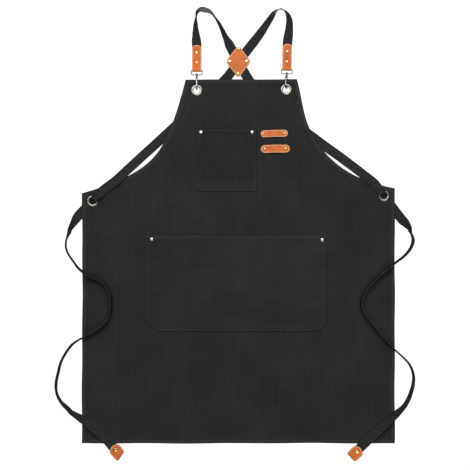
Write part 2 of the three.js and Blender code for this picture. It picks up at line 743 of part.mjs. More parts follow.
// Middle points and section sizes along a strap, evenly stepped between its rows
function strapStations(strap) {
  const rows = strapRows(strap);
  const plan = new THREE.CatmullRomCurve3(rows.map((row) => new THREE.Vector3(row.x, row.y, 0)));
  const lie = new THREE.CatmullRomCurve3(
    rows.map((row) => new THREE.Vector3(row.lift, row.bank, row.width ?? WEB_WIDTH)),
    false,
    'catmullrom',
    0.2,
  );
  const stations = [];
  const last = rows.length - 1;
  for (let i = 0; i < last; i += 1) {
    const span = Math.hypot(rows[i + 1].x - rows[i].x, rows[i + 1].y - rows[i].y);
    const steps = Math.max(1, Math.round(span / STRAP_STEP));
    for (let step = 0; step < steps; step += 1) {
      stations.push((i + step / steps) / last);
    }
  }
  stations.push(1);
  return stations.map((t) => {
    const { x, y } = plan.getPoint(t);
    const { x: lift, y: bankDegrees, z: width } = lie.getPoint(t);
    const bank = degToRad(bankDegrees);
    const thickness = webThickness(width);
    const z = lift + (Math.abs(Math.sin(bank)) * width + Math.cos(bank) * thickness) / 2;
    return { middle: new THREE.Vector3(x, y, z), bank, width, thickness };
  });
}

function strapGeometry(strap) {
  const stations = strapStations(strap);
  const up = new THREE.Vector3(0, 0, 1);
  const positions = [];
  const faces = [];
  const last = stations.length - 1;
  stations.forEach((station, i) => {
    const before = stations[Math.max(i - 1, 0)].middle;
    const after = stations[Math.min(i + 1, last)].middle;
    const along = after.clone().sub(before).normalize();
    const right = along.clone().cross(up).normalize();
    const face = right.clone().cross(along);
    const bank = station.bank * strap.edgeUp;
    const across = right.clone().multiplyScalar(Math.cos(bank)).addScaledVector(face, Math.sin(bank));
    const out = face.clone().multiplyScalar(Math.cos(bank)).addScaledVector(right, -Math.sin(bank));
    for (const [sideways, outward] of [[-1, -1], [1, -1], [1, 1], [-1, 1]]) {
      const corner = station.middle.clone()
        .addScaledVector(across, (sideways * station.width) / 2)
        .addScaledVector(out, (outward * station.thickness) / 2);
      positions.push(corner.x, corner.y, corner.z);
    }
  });
  for (let i = 0; i < last; i += 1) {
    for (let k = 0; k < 4; k += 1) {
      const a = i * 4 + k;
      const b = i * 4 + ((k + 1) % 4);
      faces.push(a, b + 4, b, a, a + 4, b + 4);
    }
  }
  faces.push(0, 1, 2, 0, 2, 3);
  const end = last * 4;
  faces.push(end, end + 2, end + 1, end, end + 3, end + 2);
  return meshFromFaces(positions, faces);
}

function buildStrap(apron, strap, index) {
  const holes = [...tabRivetPlaces(FASTENINGS[index]), tipRivetPlace(TIPS[1 - index])];
  const webbing = drill(toSolid(strapGeometry(strap)), RIVET.hole, RIVET.sides, holes);
  add(apron, strap.name, toGeometry(webbing), 'webbing');
}

function buildApron() {
  const apron = new THREE.Group();
  buildBody(apron);
  POCKETS.forEach((pocket) => buildPocket(apron, pocket));
  buildPocketRivets(apron);
  TOOL_LOOPS.forEach((loop) => buildToolLoop(apron, loop));
  buildToolRivets(apron);
  RINGS.forEach((ring) => buildRing(apron, ring));
  STRAPS.forEach((strap, index) => buildStrap(apron, strap, index));
  buildPatch(apron);
  FASTENINGS.forEach((fastening, index) => buildFastening(apron, fastening, index));
  TIPS.forEach((tip, index) => buildTip(apron, tip, index));
  return apron;
}

export default buildApron();
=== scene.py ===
"""A canvas cross-back work apron, laid out front up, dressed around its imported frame."""

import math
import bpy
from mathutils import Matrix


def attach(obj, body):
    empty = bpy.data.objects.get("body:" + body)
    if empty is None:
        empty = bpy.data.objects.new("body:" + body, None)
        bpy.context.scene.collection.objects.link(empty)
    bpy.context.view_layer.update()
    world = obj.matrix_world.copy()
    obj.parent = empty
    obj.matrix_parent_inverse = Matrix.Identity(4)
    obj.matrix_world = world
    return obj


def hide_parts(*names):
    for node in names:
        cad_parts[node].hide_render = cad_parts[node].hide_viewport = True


bl_info = {
    "name": "Canvas work apron",
    "version": (1, 0, 0),
    "blender": (4, 5, 0),
    "location": "View3D > Sidebar > Apron",
    "description": "Builds a laid-out canvas work apron with leather trim, webbing straps and snap hooks",
    "category": "Add Mesh",
}

import bpy
import numpy as np
from bpy.props import FloatProperty, FloatVectorProperty, PointerProperty
from mathutils import Vector, geometry

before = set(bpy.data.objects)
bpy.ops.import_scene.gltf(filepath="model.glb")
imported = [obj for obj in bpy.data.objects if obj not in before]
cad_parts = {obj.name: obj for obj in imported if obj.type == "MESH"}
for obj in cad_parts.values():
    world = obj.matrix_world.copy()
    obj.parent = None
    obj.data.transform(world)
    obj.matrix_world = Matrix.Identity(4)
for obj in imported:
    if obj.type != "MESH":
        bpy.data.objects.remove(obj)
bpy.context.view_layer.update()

# Lengths below are millimetres in the frame's axes; meshes are written in metres
MM = 0.001
UP = np.array([0.0, 0.0, 1.0])
APRON = "apron"

# The body panel: straight edges, then each armhole from the bib to the side
BODY = {"left": -336.5, "right": 351.3, "hem": -459.3, "top": 340.7}
ARMHOLE_LEFT = [(-108, 340.7), (-153.8, 180.8), (-163.2, 143.8), (-334.9, 90.4)]
ARMHOLE_RIGHT = [(135.4, 340.7), (152.4, 292), (139.4, 144.2), (350.6, 101.4)]

# Straps and hardware under the upper half hold the cloth off the surface, the bib the most
UPPER_LIFT, UPPER_FROM, UPPER_TO = 3.0, -90, 86
BIB_LIFT, BIB_FROM, BIB_TO = 1.4, 120, 175
PIECE_GAP = 0.3

# Rings: place, height of the cloth's underside there, flat radius and reach of the lift
RINGS = {
    "bib_grommet_left": (-84, 316.6, 8.4, 18, 90),
    "bib_grommet_right": (112.5, 318.6, 7.7, 18, 90),
    "side_grommet_left": (-313.1, 73.6, 6.4, 22, 95),
    "side_grommet_right": (326.8, 85.3, 6.4, 22, 95),
}
RING_SEAT = 8.3

# Cut edges: how much wider than drawn they lie, and their waves as height, length and start
EDGE_SPREAD = 1.0018
SIDEWAYS_WAVES = [(0.45, 23, 1), (0.3, 61, 4)]
UPWARD_WAVES = [(0.5, 29, 2), (0.35, 83, 0)]
# Hems: width of the step on the inner side, and reach of the rounding on the outer side
HEM_STEP, HEM_ROUND = 1.2, 1.2
# Stitching: its distance from a hem's inner edge, the outer row's distance from a pocket's edge, the
# distance of the mouth's row from the hem's edge and the sides, and how high the thread lies
STITCH_INSET, OUTER_ROW, MOUTH_INSET, THREAD_RISE = 1.6, 1.9, 2, 0.1
# One stitch as a bead of thread: place along it, thickness and rise, as shares of half its length and
# of half the thread
BEAD = [(-1.0, 0.35, -0.45), (-0.6, 0.9, 0.0), (0.0, 1.0, 0.15), (0.6, 0.9, 0.0), (1.0, 0.35, -0.45)]
BEAD_SIDES, BEAD_SHARE = 6, 0.42
# Distances from pockets and from tool loops over which the body's creases set in
CREASED_PAST_POCKET, CREASED_PAST_LOOP = (2, 26), (36, 60)

# Mesh steps, along edges and inside them
STEP = {
    "body_edge": 5, "body": 6, "pocket_edge": 4, "pocket": 4.5, "seam": 2, "strap": 4,
    "tool_loop_edge": 1.5, "tool_loop": 1.6, "patch_edge": 1.4, "patch": 2, "fold_edge": 1.5, "fold": 1.8,
    "hook_edge": 0.6, "gate_edge": 0.7, "metal": 0.8,
}
# Sides of turned pieces
SIDES = {"rivet": 28, "ring": 56, "swivel": 24, "pin": 20, "loop": 14}
# Points worked out along a curve before they are spaced evenly, and across each face of the webbing
CURVE_POINTS, WEB_POINTS = 400, 13
# Rounded rims: depths of the mesh's loops, and how far inward the rounding reaches
LEATHER_RIM = ([0, 0.12, 0.4, 0.8, 1.5, 2.6], 0.8)
METAL_RIM = ([0, 0.08, 0.25, 0.5], 0.5)

# Pockets: box, slack of the mouth, width and height cut off each lower corner, the mouth's hem, whether
# the weave runs across, and how much paler than the body, or below zero darker, the cloth is
POCKETS = {
    "chest_pocket": {
        "left": -83.8, "right": 47.4, "low": 94.8, "top": 232.6, "slack": 2,
        "left_cut": None, "right_cut": None, "mouth_hem": 20, "cross": 0.0, "pale": -0.16,
    },
    "front_pocket": {
        "left": -197.3, "right": 200.7, "low": -212.6, "top": -1.1, "slack": 3,
        "left_cut": (23, 27), "right_cut": (17, 18), "mouth_hem": 22, "cross": 1.0, "pale": 0.0,
    },
}
# Heights above a pocket's lower edge between which its own shade sets in
POCKET_SHADE = (16, 26)
# The gap under a sewn pocket, and how much of a hem's rise a rivet leaves
SEWN_GAP, PRESSED_HEM = 0.1, 0.6
POCKET_RIVETS = [
    ("chest_pocket", -74.8, 224.9), ("chest_pocket", 37.7, 224.9),
    ("front_pocket", -183.2, -10.1), ("front_pocket", 191.8, -11.5),
]

# Radius of a rivet's cap, by what it fastens
RIVET_CAPS = {"pocket": 3.9, "tool": 3.6, "patch": 4.3, "tab": 3.9, "tip": 4.8}

# Leather loops for tools: centre, turn in degrees, length and width, and the shape they share
TOOL_LOOPS = {
    "tool_loop_upper": (86.3, 221.9, 1.6, 60, 15.1),
    "tool_loop_lower": (88.6, 188.4, 0.9, 63.6, 17.3),
}
TOOL_LOOP = {"rivet": 23.2, "bow": 4.6, "ramp_to": 19.5}

# The leather diamond: place, half sizes to its sharp corners, and the stack through the crossing
PATCH = {"x": 7.3, "y": 379.7, "half_width": 28.2, "half_height": 36.2, "corner": 0.2}
PATCH_BACK_LOW, PATCH_FRONT_LOW = 1.3, 7.8
# Rivets of the diamond: place from its middle, and finish
PATCH_RIVETS = [
    (0.9, 28.4, "worn_rivet"), (-18.6, 0.3, "rivet"), (18.4, 0.8, "rivet"), (-0.4, -26.2, "worn_rivet"),
]
LOWER_STRAP, UPPER_STRAP = 3.6, 5.7

# Snap hooks: ring, turn, roll about the strap and slack below the ring's centre
FASTENINGS = {
    "left": ("bib_grommet_left", 0, 0, 2.4),
    "right": ("bib_grommet_right", -1.6, -20, 1.8),
}
NECK_HEIGHT = 7.5
# The gate's pin: along the strap from the hook's place in its ring, and up from the neck
PIN_ALONG, PIN_UP = 29.6, -3.9
# The gate along the strap: its tip, the end of its lever and the start of its cheeks; then half the
# thickness of lever and cheek, and the cheeks' distance from the middle
GATE = {"tip": 13.5, "lever_to": 25.2, "cheek_from": 24.6, "lever": 1.8, "cheek": 0.4, "apart": 1.4}
TAB = {"from": 42.9, "length": 58.6, "width": 20.6, "inner": 1.5, "arch": 6.5, "rivets": (19.6, 41.6)}
TIP = {"length": 30, "width": 27.4, "inner": 1.3, "arch": 10, "rivet": 19.5, "z": 4.6}
# How much narrower a tip is at its fold, and the share of its length before that sets in
TIP_NARROWING, TIP_NARROW_FROM = 0.15, 0.75
# Each tip: middle of its fold, turn, and how much the fold runs askew
TIPS = {"left": (-250.1, -487.7, 41, 0.27), "right": (254.2, -490.2, -46.2, -0.03)}
TIP_LIFT, TAB_LIFT = 3.7, 6.6

# A strap through a side ring: distance past its centre, height, width, and how deep it cups
RING_PASS = [
    (-34, 9.0, 21, 0.0),
    (-26, 9.8, 20, 0.04),
    (-19, 10.7, 18.3, 0.1),
    (-13, 11.7, 16.3, 0.2),
    (-8.5, 12.3, 14.8, 0.3),
    (-3.6, 11.1, 13.7, 0.6),
    (0, 7, 13.6, 1.0),
    (3.6, 3.3, 14.2, 0.6),
    (9, 2.3, 17, 0.3),
    (18, 1.3, 20.5, 0.0),
    (26, 1.1, 21, 0.0),
]

# Strap routes. Columns: x, y, height of the lowest edge, degrees of bank from flat, below zero with the
# other edge raised
STRAP_LEFT_SHOULDER = [
    (-84, 366, TAB_LIFT, 0), (-84, 416, TAB_LIFT, 0), (-84.8, 426, 4.6, 14), (-85.6, 438, 0.6, 40),
    (-86.4, 456, 0.2, 58), (-84.9, 479, 0.2, 80), (-80.3, 490.4, 0.2, 58), (-72.3, 494, 0.2, 47),
    (-62, 491.6, 0.2, 49), (-53.4, 487, 0.2, 64), (-45.6, 478.8, 0.2, 77), (-33.2, 459.7, 0.2, 66),
    (-21.2, 433.7, 0.4, 52), (-9.6, 412, LOWER_STRAP, 0), (-5.4, 403.4, LOWER_STRAP, 0),
    (7.3, 379.7, LOWER_STRAP, 0), (21.4, 355, LOWER_STRAP, 0), (28.2, 344.2, 0.6, 0),
    (34.2, 335.4, 0.3, 0), (59.5, 301, 0.2, 0), (103.6, 265.7, 0.2, 0), (158.8, 223.8, 0.2, 0),
    (191.8, 199.1, 0.6, 0), (231.5, 170.2, 3, 3), (258, 149.9, 5.4, 8), (281, 132, 7, 11),
]
STRAP_LEFT_TIE = [
    (367.1, 33.1, 0.2, -14), (374.3, 25.6, 0.2, -38), (380.6, 17.4, 0.2, -60), (385.5, 10.1, 0.2, -79),
    (389.4, 2.4, 0.2, -94), (392.2, -5.4, 0.2, -91), (393.6, -13.7, 0.2, -87), (387.6, -30.9, 0.2, -88),
    (373, -48.2, 0.3, -90), (356.5, -60.6, 1.8, -92), (308.7, -99.4, 1.7, -92),
    (287.4, -125.8, 1.6, -92), (278.6, -150, 1.6, -92), (283.4, -173.1, 1.6, -92),
    (299.4, -195.6, 1.6, -92), (344, -245.9, 1.7, -92), (366.5, -266.5, 0.6, -92),
    (386.5, -288.4, 0.2, -91), (394.5, -313.1, 0.2, -90), (391.6, -339.6, 0.2, -87),
    (381.8, -363.3, 0.3, -80), (368.4, -379.2, 0.8, -70), (350.5, -396.6, 1.7, -52),
    (328.8, -415.8, 2.2, -34), (292.3, -450.9, 2.6, -20), (274.8, -468.6, TIP_LIFT, 0),
    (258.8, -485.6, TIP_LIFT, 0),
]
STRAP_RIGHT_SHOULDER = [
    (114, 370.6, TAB_LIFT, 0), (115.3, 421, TAB_LIFT, 0), (116.6, 432, 4.2, 13), (119.2, 454, 0.3, 36),
    (118.4, 475, 0.2, 50), (111.6, 488.4, 0.2, 68), (100.1, 495, 0.2, 86), (88.6, 489.6, 0.2, 64),
    (78.9, 475.8, 0.2, 48), (69, 461.1, 0.2, 40), (52, 437, 1.6, 20), (31, 410, UPPER_STRAP, 0),
    (24.6, 401.6, UPPER_STRAP, 0), (7.3, 379.7, UPPER_STRAP, 0), (-4.6, 361.8, UPPER_STRAP, 0),
    (-15.6, 348.2, 1, 0), (-24.6, 338.4, 0.3, 0), (-50.7, 313.6, 0.2, 0), (-99.2, 269, 0.2, 0),
    (-143.3, 228, 0.2, 0), (-172, 201.3, 0.6, 0), (-205.1, 170.9, 3, 3), (-235.9, 142.2, 5.4, 8),
    (-262, 118, 7, 11),
]
STRAP_RIGHT_TIE = [
    (-345.5, 39.7, 0.2, -20), (-355, 23.8, 0.2, -55), (-360.4, 14.6, 0.2, -67), (-365.2, 6, 0.2, -80),
    (-369, -1.8, 0.2, -90), (-371.8, -9.5, 0.2, -97.5), (-373.7, -24.9, 0.2, -96.5),
    (-370, -39.2, 0.2, -96), (-357.7, -58.4, 0.4, -96), (-344.9, -75, 1.8, -92),
    (-325.7, -89.6, 1.7, -92), (-292.6, -104.6, 1.6, -92), (-277, -128, 1.6, -92),
    (-273.6, -160, 1.6, -92), (-279.6, -188.1, 1.6, -92), (-308.7, -213.9, 1.6, -92),
    (-344, -231.8, 1.6, -89), (-360, -243, 0.4, -87), (-383.2, -278.5, 0.2, -90),
    (-390.3, -303.8, 0.2, -89), (-395.4, -329.6, 0.2, -90), (-393.8, -350.6, 0.2, -94),
    (-385.2, -368.3, 0.2, -91), (-371.5, -382, 0.3, -83), (-354, -393, 0.9, -68),
    (-333, -406.5, 1.7, -46), (-309.8, -423.8, 2.2, -28), (-284.5, -446.4, 2.6, -20),
    (-267.5, -468.6, TIP_LIFT, 0), (-256, -484.4, TIP_LIFT, 0),
]
# Where a tie stands on edge its upper edge leans this many degrees further outward, and as much of
# its place is taken off again as the upper edge gains by being nearer the eye
PAST_UPRIGHT, NEARER = 8, 0.0075
# That sets in between these banks in degrees, and below these places on y
STANDING, TIE_BELOW = (70, 86), (20, 60)
# Each strap: shoulder rows, side ring, heading through it, tie rows, edge that rises when banked
STRAPS = {
    "strap_left": (STRAP_LEFT_SHOULDER, "side_grommet_right", (0.62, -0.785), STRAP_LEFT_TIE, 1),
    "strap_right": (STRAP_RIGHT_SHOULDER, "side_grommet_left", (-0.712, -0.702), STRAP_RIGHT_TIE, -1),
}
# Where a strap bends over the shoulder a sheen is painted into its colour: distance along it, reach and
# strength
PAINTED_SHEEN = {"strap_left": (146, 20, 0.36), "strap_right": (136, 12, 0.9)}

# The camera looks straight down: millimetres across its square picture at the height of the cloth, the
# place on y in its middle, and that height
VIEW_WIDTH, VIEW_MIDDLE, CLOTH_HEIGHT = 1033.5, -0.87, 3
LENS, SENSOR = 85, 36
# Lights: place and size in metres, and power in watts
LIGHTS = {
    "key": ((-0.2, 1.15, 2.3), (2.4, 1.1), 75),
    "fill": ((0.4, -1.25, 2.1), (2.0, 0.9), 22),
}
ROOM_LIGHT = 0.05
FLOOR_HALF, FLOOR_DROP = 40000, 0.3

# Metals: name of the finish, and roughness before any marks
METALS = {
    "rivet": ("polished brass", 0.22),
    # A darker, rougher copy of the rivet brass: painted shade that dims some rivets' highlights
    "worn_rivet": ("worn brass", 0.34),
    "pocket_rivet": ("tinned brass", 0.26),
    "brass": ("aged brass", 0.24),
    "nickel": ("dark nickel", 0.18),
}
# Weaves, in metres: thread to thread of the canvas, and row to row of the webbing
CANVAS_THREAD, WEBBING_ROW = 0.0011, 0.0021
# Across the webbing: changes of direction in its herringbone, and threads
HERRINGBONE_RIBS, WEBBING_ENDS = 5.0, 20


def size_property(name, description, default):
    """A length in metres."""
    return FloatProperty(name=name, description=description, default=default, unit="LENGTH")


def colour_property(name, description, default):
    """A colour of three numbers."""
    return FloatVectorProperty(
        name=name, description=description, default=default, subtype="COLOR", min=0, max=1)


class ApronSizes(bpy.types.PropertyGroup):
    """Sizes of cloth, webbing, leather and thread."""

    canvas: size_property("Canvas", "Thickness of one layer of canvas", 0.0012)
    hem: size_property("Hem", "Width of the turned hem", 0.0095)
    hem_rise: size_property("Hem rise", "How far the hem stands above one layer", 0.0008)
    webbing: size_property("Webbing width", "Width of the strap webbing", 0.021)
    webbing_thick: size_property("Webbing thickness", "Thickness of the strap webbing", 0.0018)
    leather: size_property("Leather", "Thickness of the leather", 0.002)
    stitch_pitch: size_property("Stitch pitch", "Distance from stitch to stitch", 0.0036)
    thread: size_property("Thread", "Thickness of the sewing thread", 0.0007)


class ApronColours(bpy.types.PropertyGroup):
    """Base colours of the finishes."""

    canvas: colour_property("Canvas", "Dyed canvas", (0.0234, 0.0229, 0.0229))
    webbing: colour_property("Webbing", "Dyed webbing", (0.0282, 0.0279, 0.0265))
    leather: colour_property("Leather", "Tan leather", (0.54, 0.141, 0.033))
    leather_edge: colour_property("Leather edge", "Burnished edge of the leather", (0.76, 0.41, 0.24))
    rivet: colour_property("Rivets", "Polished pale brass of the rivets", (0.52, 0.40, 0.22))
    # A darker copy of the rivet brass, as painted shade that dims some rivets' highlights
    worn_rivet: colour_property("Worn rivets", "Dull brass of the most handled rivets", (0.47, 0.31, 0.16))
    pocket_rivet: colour_property("Pocket rivets", "Tinned brass of the pocket rivets", (0.50, 0.48, 0.42))
    brass: colour_property("Rings", "Aged brass of the rings", (0.25, 0.22, 0.18))
    nickel: colour_property("Snaps", "Dark nickel of the snap hooks", (0.17, 0.165, 0.155))
    floor: colour_property("Floor", "Lit white floor", (1.0, 1.0, 1.0))


def sizes_in_mm(context):
    """The sizes of the scene as millimetres by name."""
    sizes = context.scene.apron_sizes
    return {name: getattr(sizes, name) / MM for name in ApronSizes.__annotations__}


class Wire:
    """An output socket of a material. Arithmetic on it adds Math nodes."""

    def __init__(self, tree, socket=None):
        self.tree = tree
        self.socket = socket

    def node(self, kind, settings, values, output=0):
        """Adds a node, its settings first and then its sockets' values or links."""
        made = self.tree.nodes.new(kind)
        for name, value in settings.items():
            setattr(made, name, value)
        for key, value in values.items():
            self.feed(made.inputs[key], value)
        return Wire(self.tree, made.outputs[output])

    def feed(self, socket, value):
        """Links a wire to an input socket, or sets a plain value on it."""
        if isinstance(value, Wire):
            self.tree.links.new(value.socket, socket)
        else:
            socket.default_value = value

    def math(self, operation, *values):
        return self.node("ShaderNodeMath", {"operation": operation}, dict(enumerate(values)))

    def wave(self):
        """A sine that repeats each time this grows by one."""
        turn = self * (2 * math.pi)
        return turn.math("SINE", turn)

    def zigzag(self):
        """Up to one and down again as this grows by two."""
        return self.math("PINGPONG", self, 1.0)

    def mix(self, factor, first, second):
        """A colour between two, by a factor. The node's sockets for colours go by number."""
        return self.node("ShaderNodeMix", {"data_type": "RGBA"}, {0: factor, 6: first, 7: second}, output=2)

    def ramp(self, low, high):
        """Zero below low, one above high and smooth between."""
        values = {"Value": self, "From Min": low, "From Max": high}
        return self.node("ShaderNodeMapRange", {"interpolation_type": "SMOOTHSTEP"}, values)

    def __add__(self, other):
        return self.math("ADD", self, other)

    def __radd__(self, other):
        return self.math("ADD", other, self)

    def __sub__(self, other):
        return self.math("SUBTRACT", self, other)

    def __rsub__(self, other):
        return self.math("SUBTRACT", other, self)

    def __mul__(self, other):
        return self.math("MULTIPLY", self, other)

    def __rmul__(self, other):
        return self.math("MULTIPLY", other, self)

    def __truediv__(self, other):
        return self.math("DIVIDE", self, other)

    def __rtruediv__(self, other):
        return self.math("DIVIDE", other, self)


class Finish:
    """A material being made: its coordinates, noise and one Principled shader."""

    def __init__(self, name):
        self.material = bpy.data.materials.new(name)
        self.material.use_nodes = True
        tree = self.material.node_tree
        tree.nodes.clear()
        self.wire = Wire(tree)
        surface = tree.nodes.new("ShaderNodeOutputMaterial")
        self.shader = tree.nodes.new("ShaderNodeBsdfPrincipled")
        tree.links.new(self.shader.outputs[0], surface.inputs[0])
        self.place = self.coordinates("Object")

    def coordinates(self, kind):
        return self.wire.node("ShaderNodeTexCoord", {}, {}, output=kind)

    def axis(self, vector, index):
        return self.wire.node("ShaderNodeSeparateXYZ", {}, {0: vector}, output=index)

    def stretched(self, vector, scale):
        settings = {"operation": "MULTIPLY"}
        return self.wire.node("ShaderNodeVectorMath", settings, {0: vector, 1: scale})

    def noise(self, scale, detail=3.0, roughness=0.55, vector=None):
        values = {"Vector": vector or self.place, "Scale": scale, "Detail": detail, "Roughness": roughness}
        return self.wire.node("ShaderNodeTexNoise", {}, values)

    def cells(self, scale):
        values = {"Vector": self.place, "Scale": scale}
        return self.wire.node("ShaderNodeTexVoronoi", {"feature": "F1"}, values)

    def painted(self, name):
        """A number stored on the mesh's points."""
        return self.wire.node("ShaderNodeAttribute", {"attribute_name": name}, {}, output=2)

    def bump(self, height, strength, distance):
        return self.wire.node(
            "ShaderNodeBump", {}, {"Strength": strength, "Distance": distance, "Height": height})

    def set(self, **sockets):
        """Sets or links the shader's sockets; an underscore stands for a space."""
        for name, value in sockets.items():
            self.wire.feed(self.shader.inputs[name.replace("_", " ")], value)


def opaque(colour, scale=1.0):
    """A colour of four numbers, made lighter or darker."""
    return (*[min(1.0, channel * scale) for channel in colour], 1.0)


def canvas_finish(context):
    """Dyed duck canvas: a plain weave with slubs; hems are paler, partly from wear and partly as a painted
    highlight, and seams get painted shade.
    """
    colour = context.scene.apron_colours.canvas
    finish = Finish("dyed canvas")
    warp = (finish.axis(finish.place, 0) / CANVAS_THREAD).wave()
    weft = (finish.axis(finish.place, 1) / CANVAS_THREAD).wave()
    upright = finish.noise(170, 4, 0.6, vector=finish.stretched(finish.place, (1, 0.06, 1)))
    level = finish.noise(170, 4, 0.6, vector=finish.stretched(finish.place, (0.06, 1, 1)))
    cross = finish.painted("cross")
    slubs = upright * (0.65 - cross * 0.3) + level * (0.35 + cross * 0.3)
    fade = finish.noise(9, 4)
    fine = finish.noise(800, 2)
    # Paler hems are partly worn and partly a painted highlight; darker seams are painted shade along
    # stitching, hem steps and pocket edges.
    wear_highlight_and_shade = finish.painted("wear") * 0.5 - finish.painted("seam") * 0.6
    shade = 0.2 + fade * 0.45 + slubs * 0.45 + fine * 0.2 + wear_highlight_and_shade
    base = finish.wire.mix(shade.ramp(0.2, 1.3), opaque(colour, 0.55), opaque(colour, 1.75))
    lint = finish.noise(1500, 1).ramp(0.74, 0.82)
    finish.set(
        Base_Color=finish.wire.mix(lint * 0.2, base, opaque(colour, 3.0)),
        Roughness=0.86 + fine * 0.12,
        Normal=finish.bump(warp * weft + slubs * 2.0 + fine, 0.35, 0.0002),
        Specular_IOR_Level=0.0,
    )
    return finish.material


def webbing_finish(context):
    """Cotton webbing in a herringbone weave with firmer edges, a painted highlight on the upper edge where
    it stands on edge, and a painted sheen where it bends over a shoulder.
    """
    colour = context.scene.apron_colours.webbing
    finish = Finish("dyed webbing")
    woven = finish.coordinates("UV")
    across = finish.axis(woven, 0)
    along = finish.axis(woven, 1)
    lean = (across * HERRINGBONE_RIBS).zigzag()
    strands = (along / WEBBING_ROW + lean * 1.1).wave()
    ends = (across * WEBBING_ENDS).wave()
    fuzz = finish.noise(330, 3, 0.7)
    fade = finish.noise(9, 3)
    # The edge term is a painted highlight on the upper edge where the web stands on edge.
    shade = fade * 0.3 + fuzz * 1.6 - 0.6 + strands * 0.12 + finish.painted("edge") * 0.3
    base = finish.wire.mix(shade.ramp(0.0, 1.1), opaque(colour, 0.45), opaque(colour, 2.1))
    finish.set(
        # Painted sheen where the strap bends over the shoulder, mixed towards a much paler colour
        Base_Color=finish.wire.mix(finish.painted("faded"), base, opaque(colour, 8.0)),
        Roughness=0.74 + fuzz * 0.16,
        Normal=finish.bump(strands + ends * 0.5 + fuzz, 0.5, 0.0003),
        Specular_IOR_Level=0.0,
    )
    return finish.material


def leather_finish(context):
    """Tan full-grain leather with a paler burnished edge."""
    colours = context.scene.apron_colours
    finish = Finish("tan leather")
    pores = finish.cells(900)
    wrinkles = finish.cells(330)
    mottle = finish.noise(60, 4)
    fine = finish.noise(420, 3)
    edge = finish.painted("edge")
    shade = mottle * 0.7 + fine * 0.3
    face = finish.wire.mix(
        shade.ramp(0.3, 0.75), opaque(colours.leather, 0.78), opaque(colours.leather, 1.14))
    finish.set(
        Base_Color=finish.wire.mix(edge * (0.55 + fine * 0.5), face, opaque(colours.leather_edge)),
        Roughness=0.42 + fine * 0.25,
        Normal=finish.bump(pores * 0.6 + wrinkles + fine * 0.5, 0.3, 0.0003),
        Specular_IOR_Level=0.14,
    )
    return finish.material


def metal_finish(context, key):
    """Plated metal with faint handling marks."""
    name, polish = METALS[key]
    colour = getattr(context.scene.apron_colours, key)
    finish = Finish(name)
    marks = finish.noise(260, 4)
    scratches = finish.noise(900, 2, vector=finish.stretched(finish.place, (1, 0.1, 1)))
    finish.set(
        Base_Color=finish.wire.mix(marks.ramp(0.3, 0.75), opaque(colour, 0.82), opaque(colour, 1.08)),
        Metallic=1.0,
        Roughness=polish + marks * 0.16 + scratches * 0.06,
        Normal=finish.bump(marks, 0.03, 0.0002),
    )
    return finish.material


def thread_finish(context):
    """Waxed sewing thread dyed to the cloth."""
    colour = context.scene.apron_colours.canvas
    finish = Finish("sewing thread")
    twist = finish.noise(1800, 2)
    finish.set(
        Base_Color=finish.wire.mix(twist.ramp(0.3, 0.7), opaque(colour, 1.1), opaque(colour, 2.0)),
        Roughness=0.6 + twist * 0.2,
        Normal=finish.bump(twist, 0.3, 0.0002),
        Specular_IOR_Level=0.1,
    )
    return finish.material


def floor_finish(context):
    """A white board lit from within, so that hardly any shadow shows on it."""
    colour = context.scene.apron_colours.floor
    finish = Finish("lit white board")
    grain = finish.noise(40, 3)
    finish.set(
        Base_Color=finish.wire.mix(grain, opaque(colour, 0.14), opaque(colour, 0.16)),
        Roughness=0.9,
        Specular_IOR_Level=0.0,
        Emission_Color=opaque(colour),
        Emission_Strength=0.97,
    )
    return finish.material


FINISHES = {
    "canvas": canvas_finish,
    "webbing": webbing_finish,
    "leather": leather_finish,
    "thread": thread_finish,
    "floor": floor_finish,
}
MADE = {}


def finish_named(context, name):
    """Makes each finish once."""
    if name not in MADE:
        MADE[name] = metal_finish(context, name) if name in METALS else FINISHES[name](context)
    return MADE[name]


def add_piece(context, name, shape, finish, numbers=None, uv=None, smooth=True):
    """A mesh object from vertices in millimetres, faces and numbers stored on its points."""
    vertices, faces = shape
    mesh = bpy.data.meshes.new(name)
    corners = [[int(index) for index in face] for face in faces]
    mesh.from_pydata((np.asarray(vertices, dtype=float) * MM).tolist(), [], corners)
    mesh.update()
    for key, values in (numbers or {}).items():
        layer = mesh.attributes.new(key, "FLOAT", "POINT")
        layer.data.foreach_set("value", np.asarray(values, dtype=np.float32))
    if uv is not None:
        layer = mesh.uv_layers.new(name="UVMap")
        vertex = np.empty(len(mesh.loops), dtype=np.int64)
        mesh.loops.foreach_get("vertex_index", vertex)
        layer.data.foreach_set("uv", np.asarray(uv, dtype=np.float32)[vertex].ravel())
    mesh.polygons.foreach_set("use_smooth", [smooth] * len(mesh.polygons))
    mesh.materials.append(finish_named(context, finish))
    piece = bpy.data.objects.new(name, mesh)
    context.scene.collection.objects.link(piece)
    return piece


def dress(piece, slot, *nodes, body=APRON):
    """Gives a piece its body and hides the frame's nodes that it stands for; slot is not used."""
    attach(piece, body)
    if nodes:
        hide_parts(*nodes)
    return piece


def joined(shapes):
    """Several shapes as one."""
    vertices, faces, start = [], [], 0
    for points, polygons in shapes:
        vertices.extend(np.asarray(points, dtype=float).tolist())
        faces.extend([[index + start for index in polygon] for polygon in polygons])
        start = len(vertices)
    return np.array(vertices), faces


def smoothstep(value, low, high):
    t = np.clip((np.asarray(value, dtype=float) - low) / (high - low), 0, 1)
    return t * t * (3 - 2 * t)


def cloth_lift(x, y):
    """Height of the cloth's underside above the floor."""
    lift = UPPER_LIFT * smoothstep(y, UPPER_FROM, UPPER_TO) + BIB_LIFT * smoothstep(y, BIB_FROM, BIB_TO)
    for ring_x, ring_y, high, flat, reach in RINGS.values():
        hold = 1 - smoothstep(np.hypot(x - ring_x, y - ring_y), flat, reach)
        lift = lift + (high - lift) * hold
    return lift


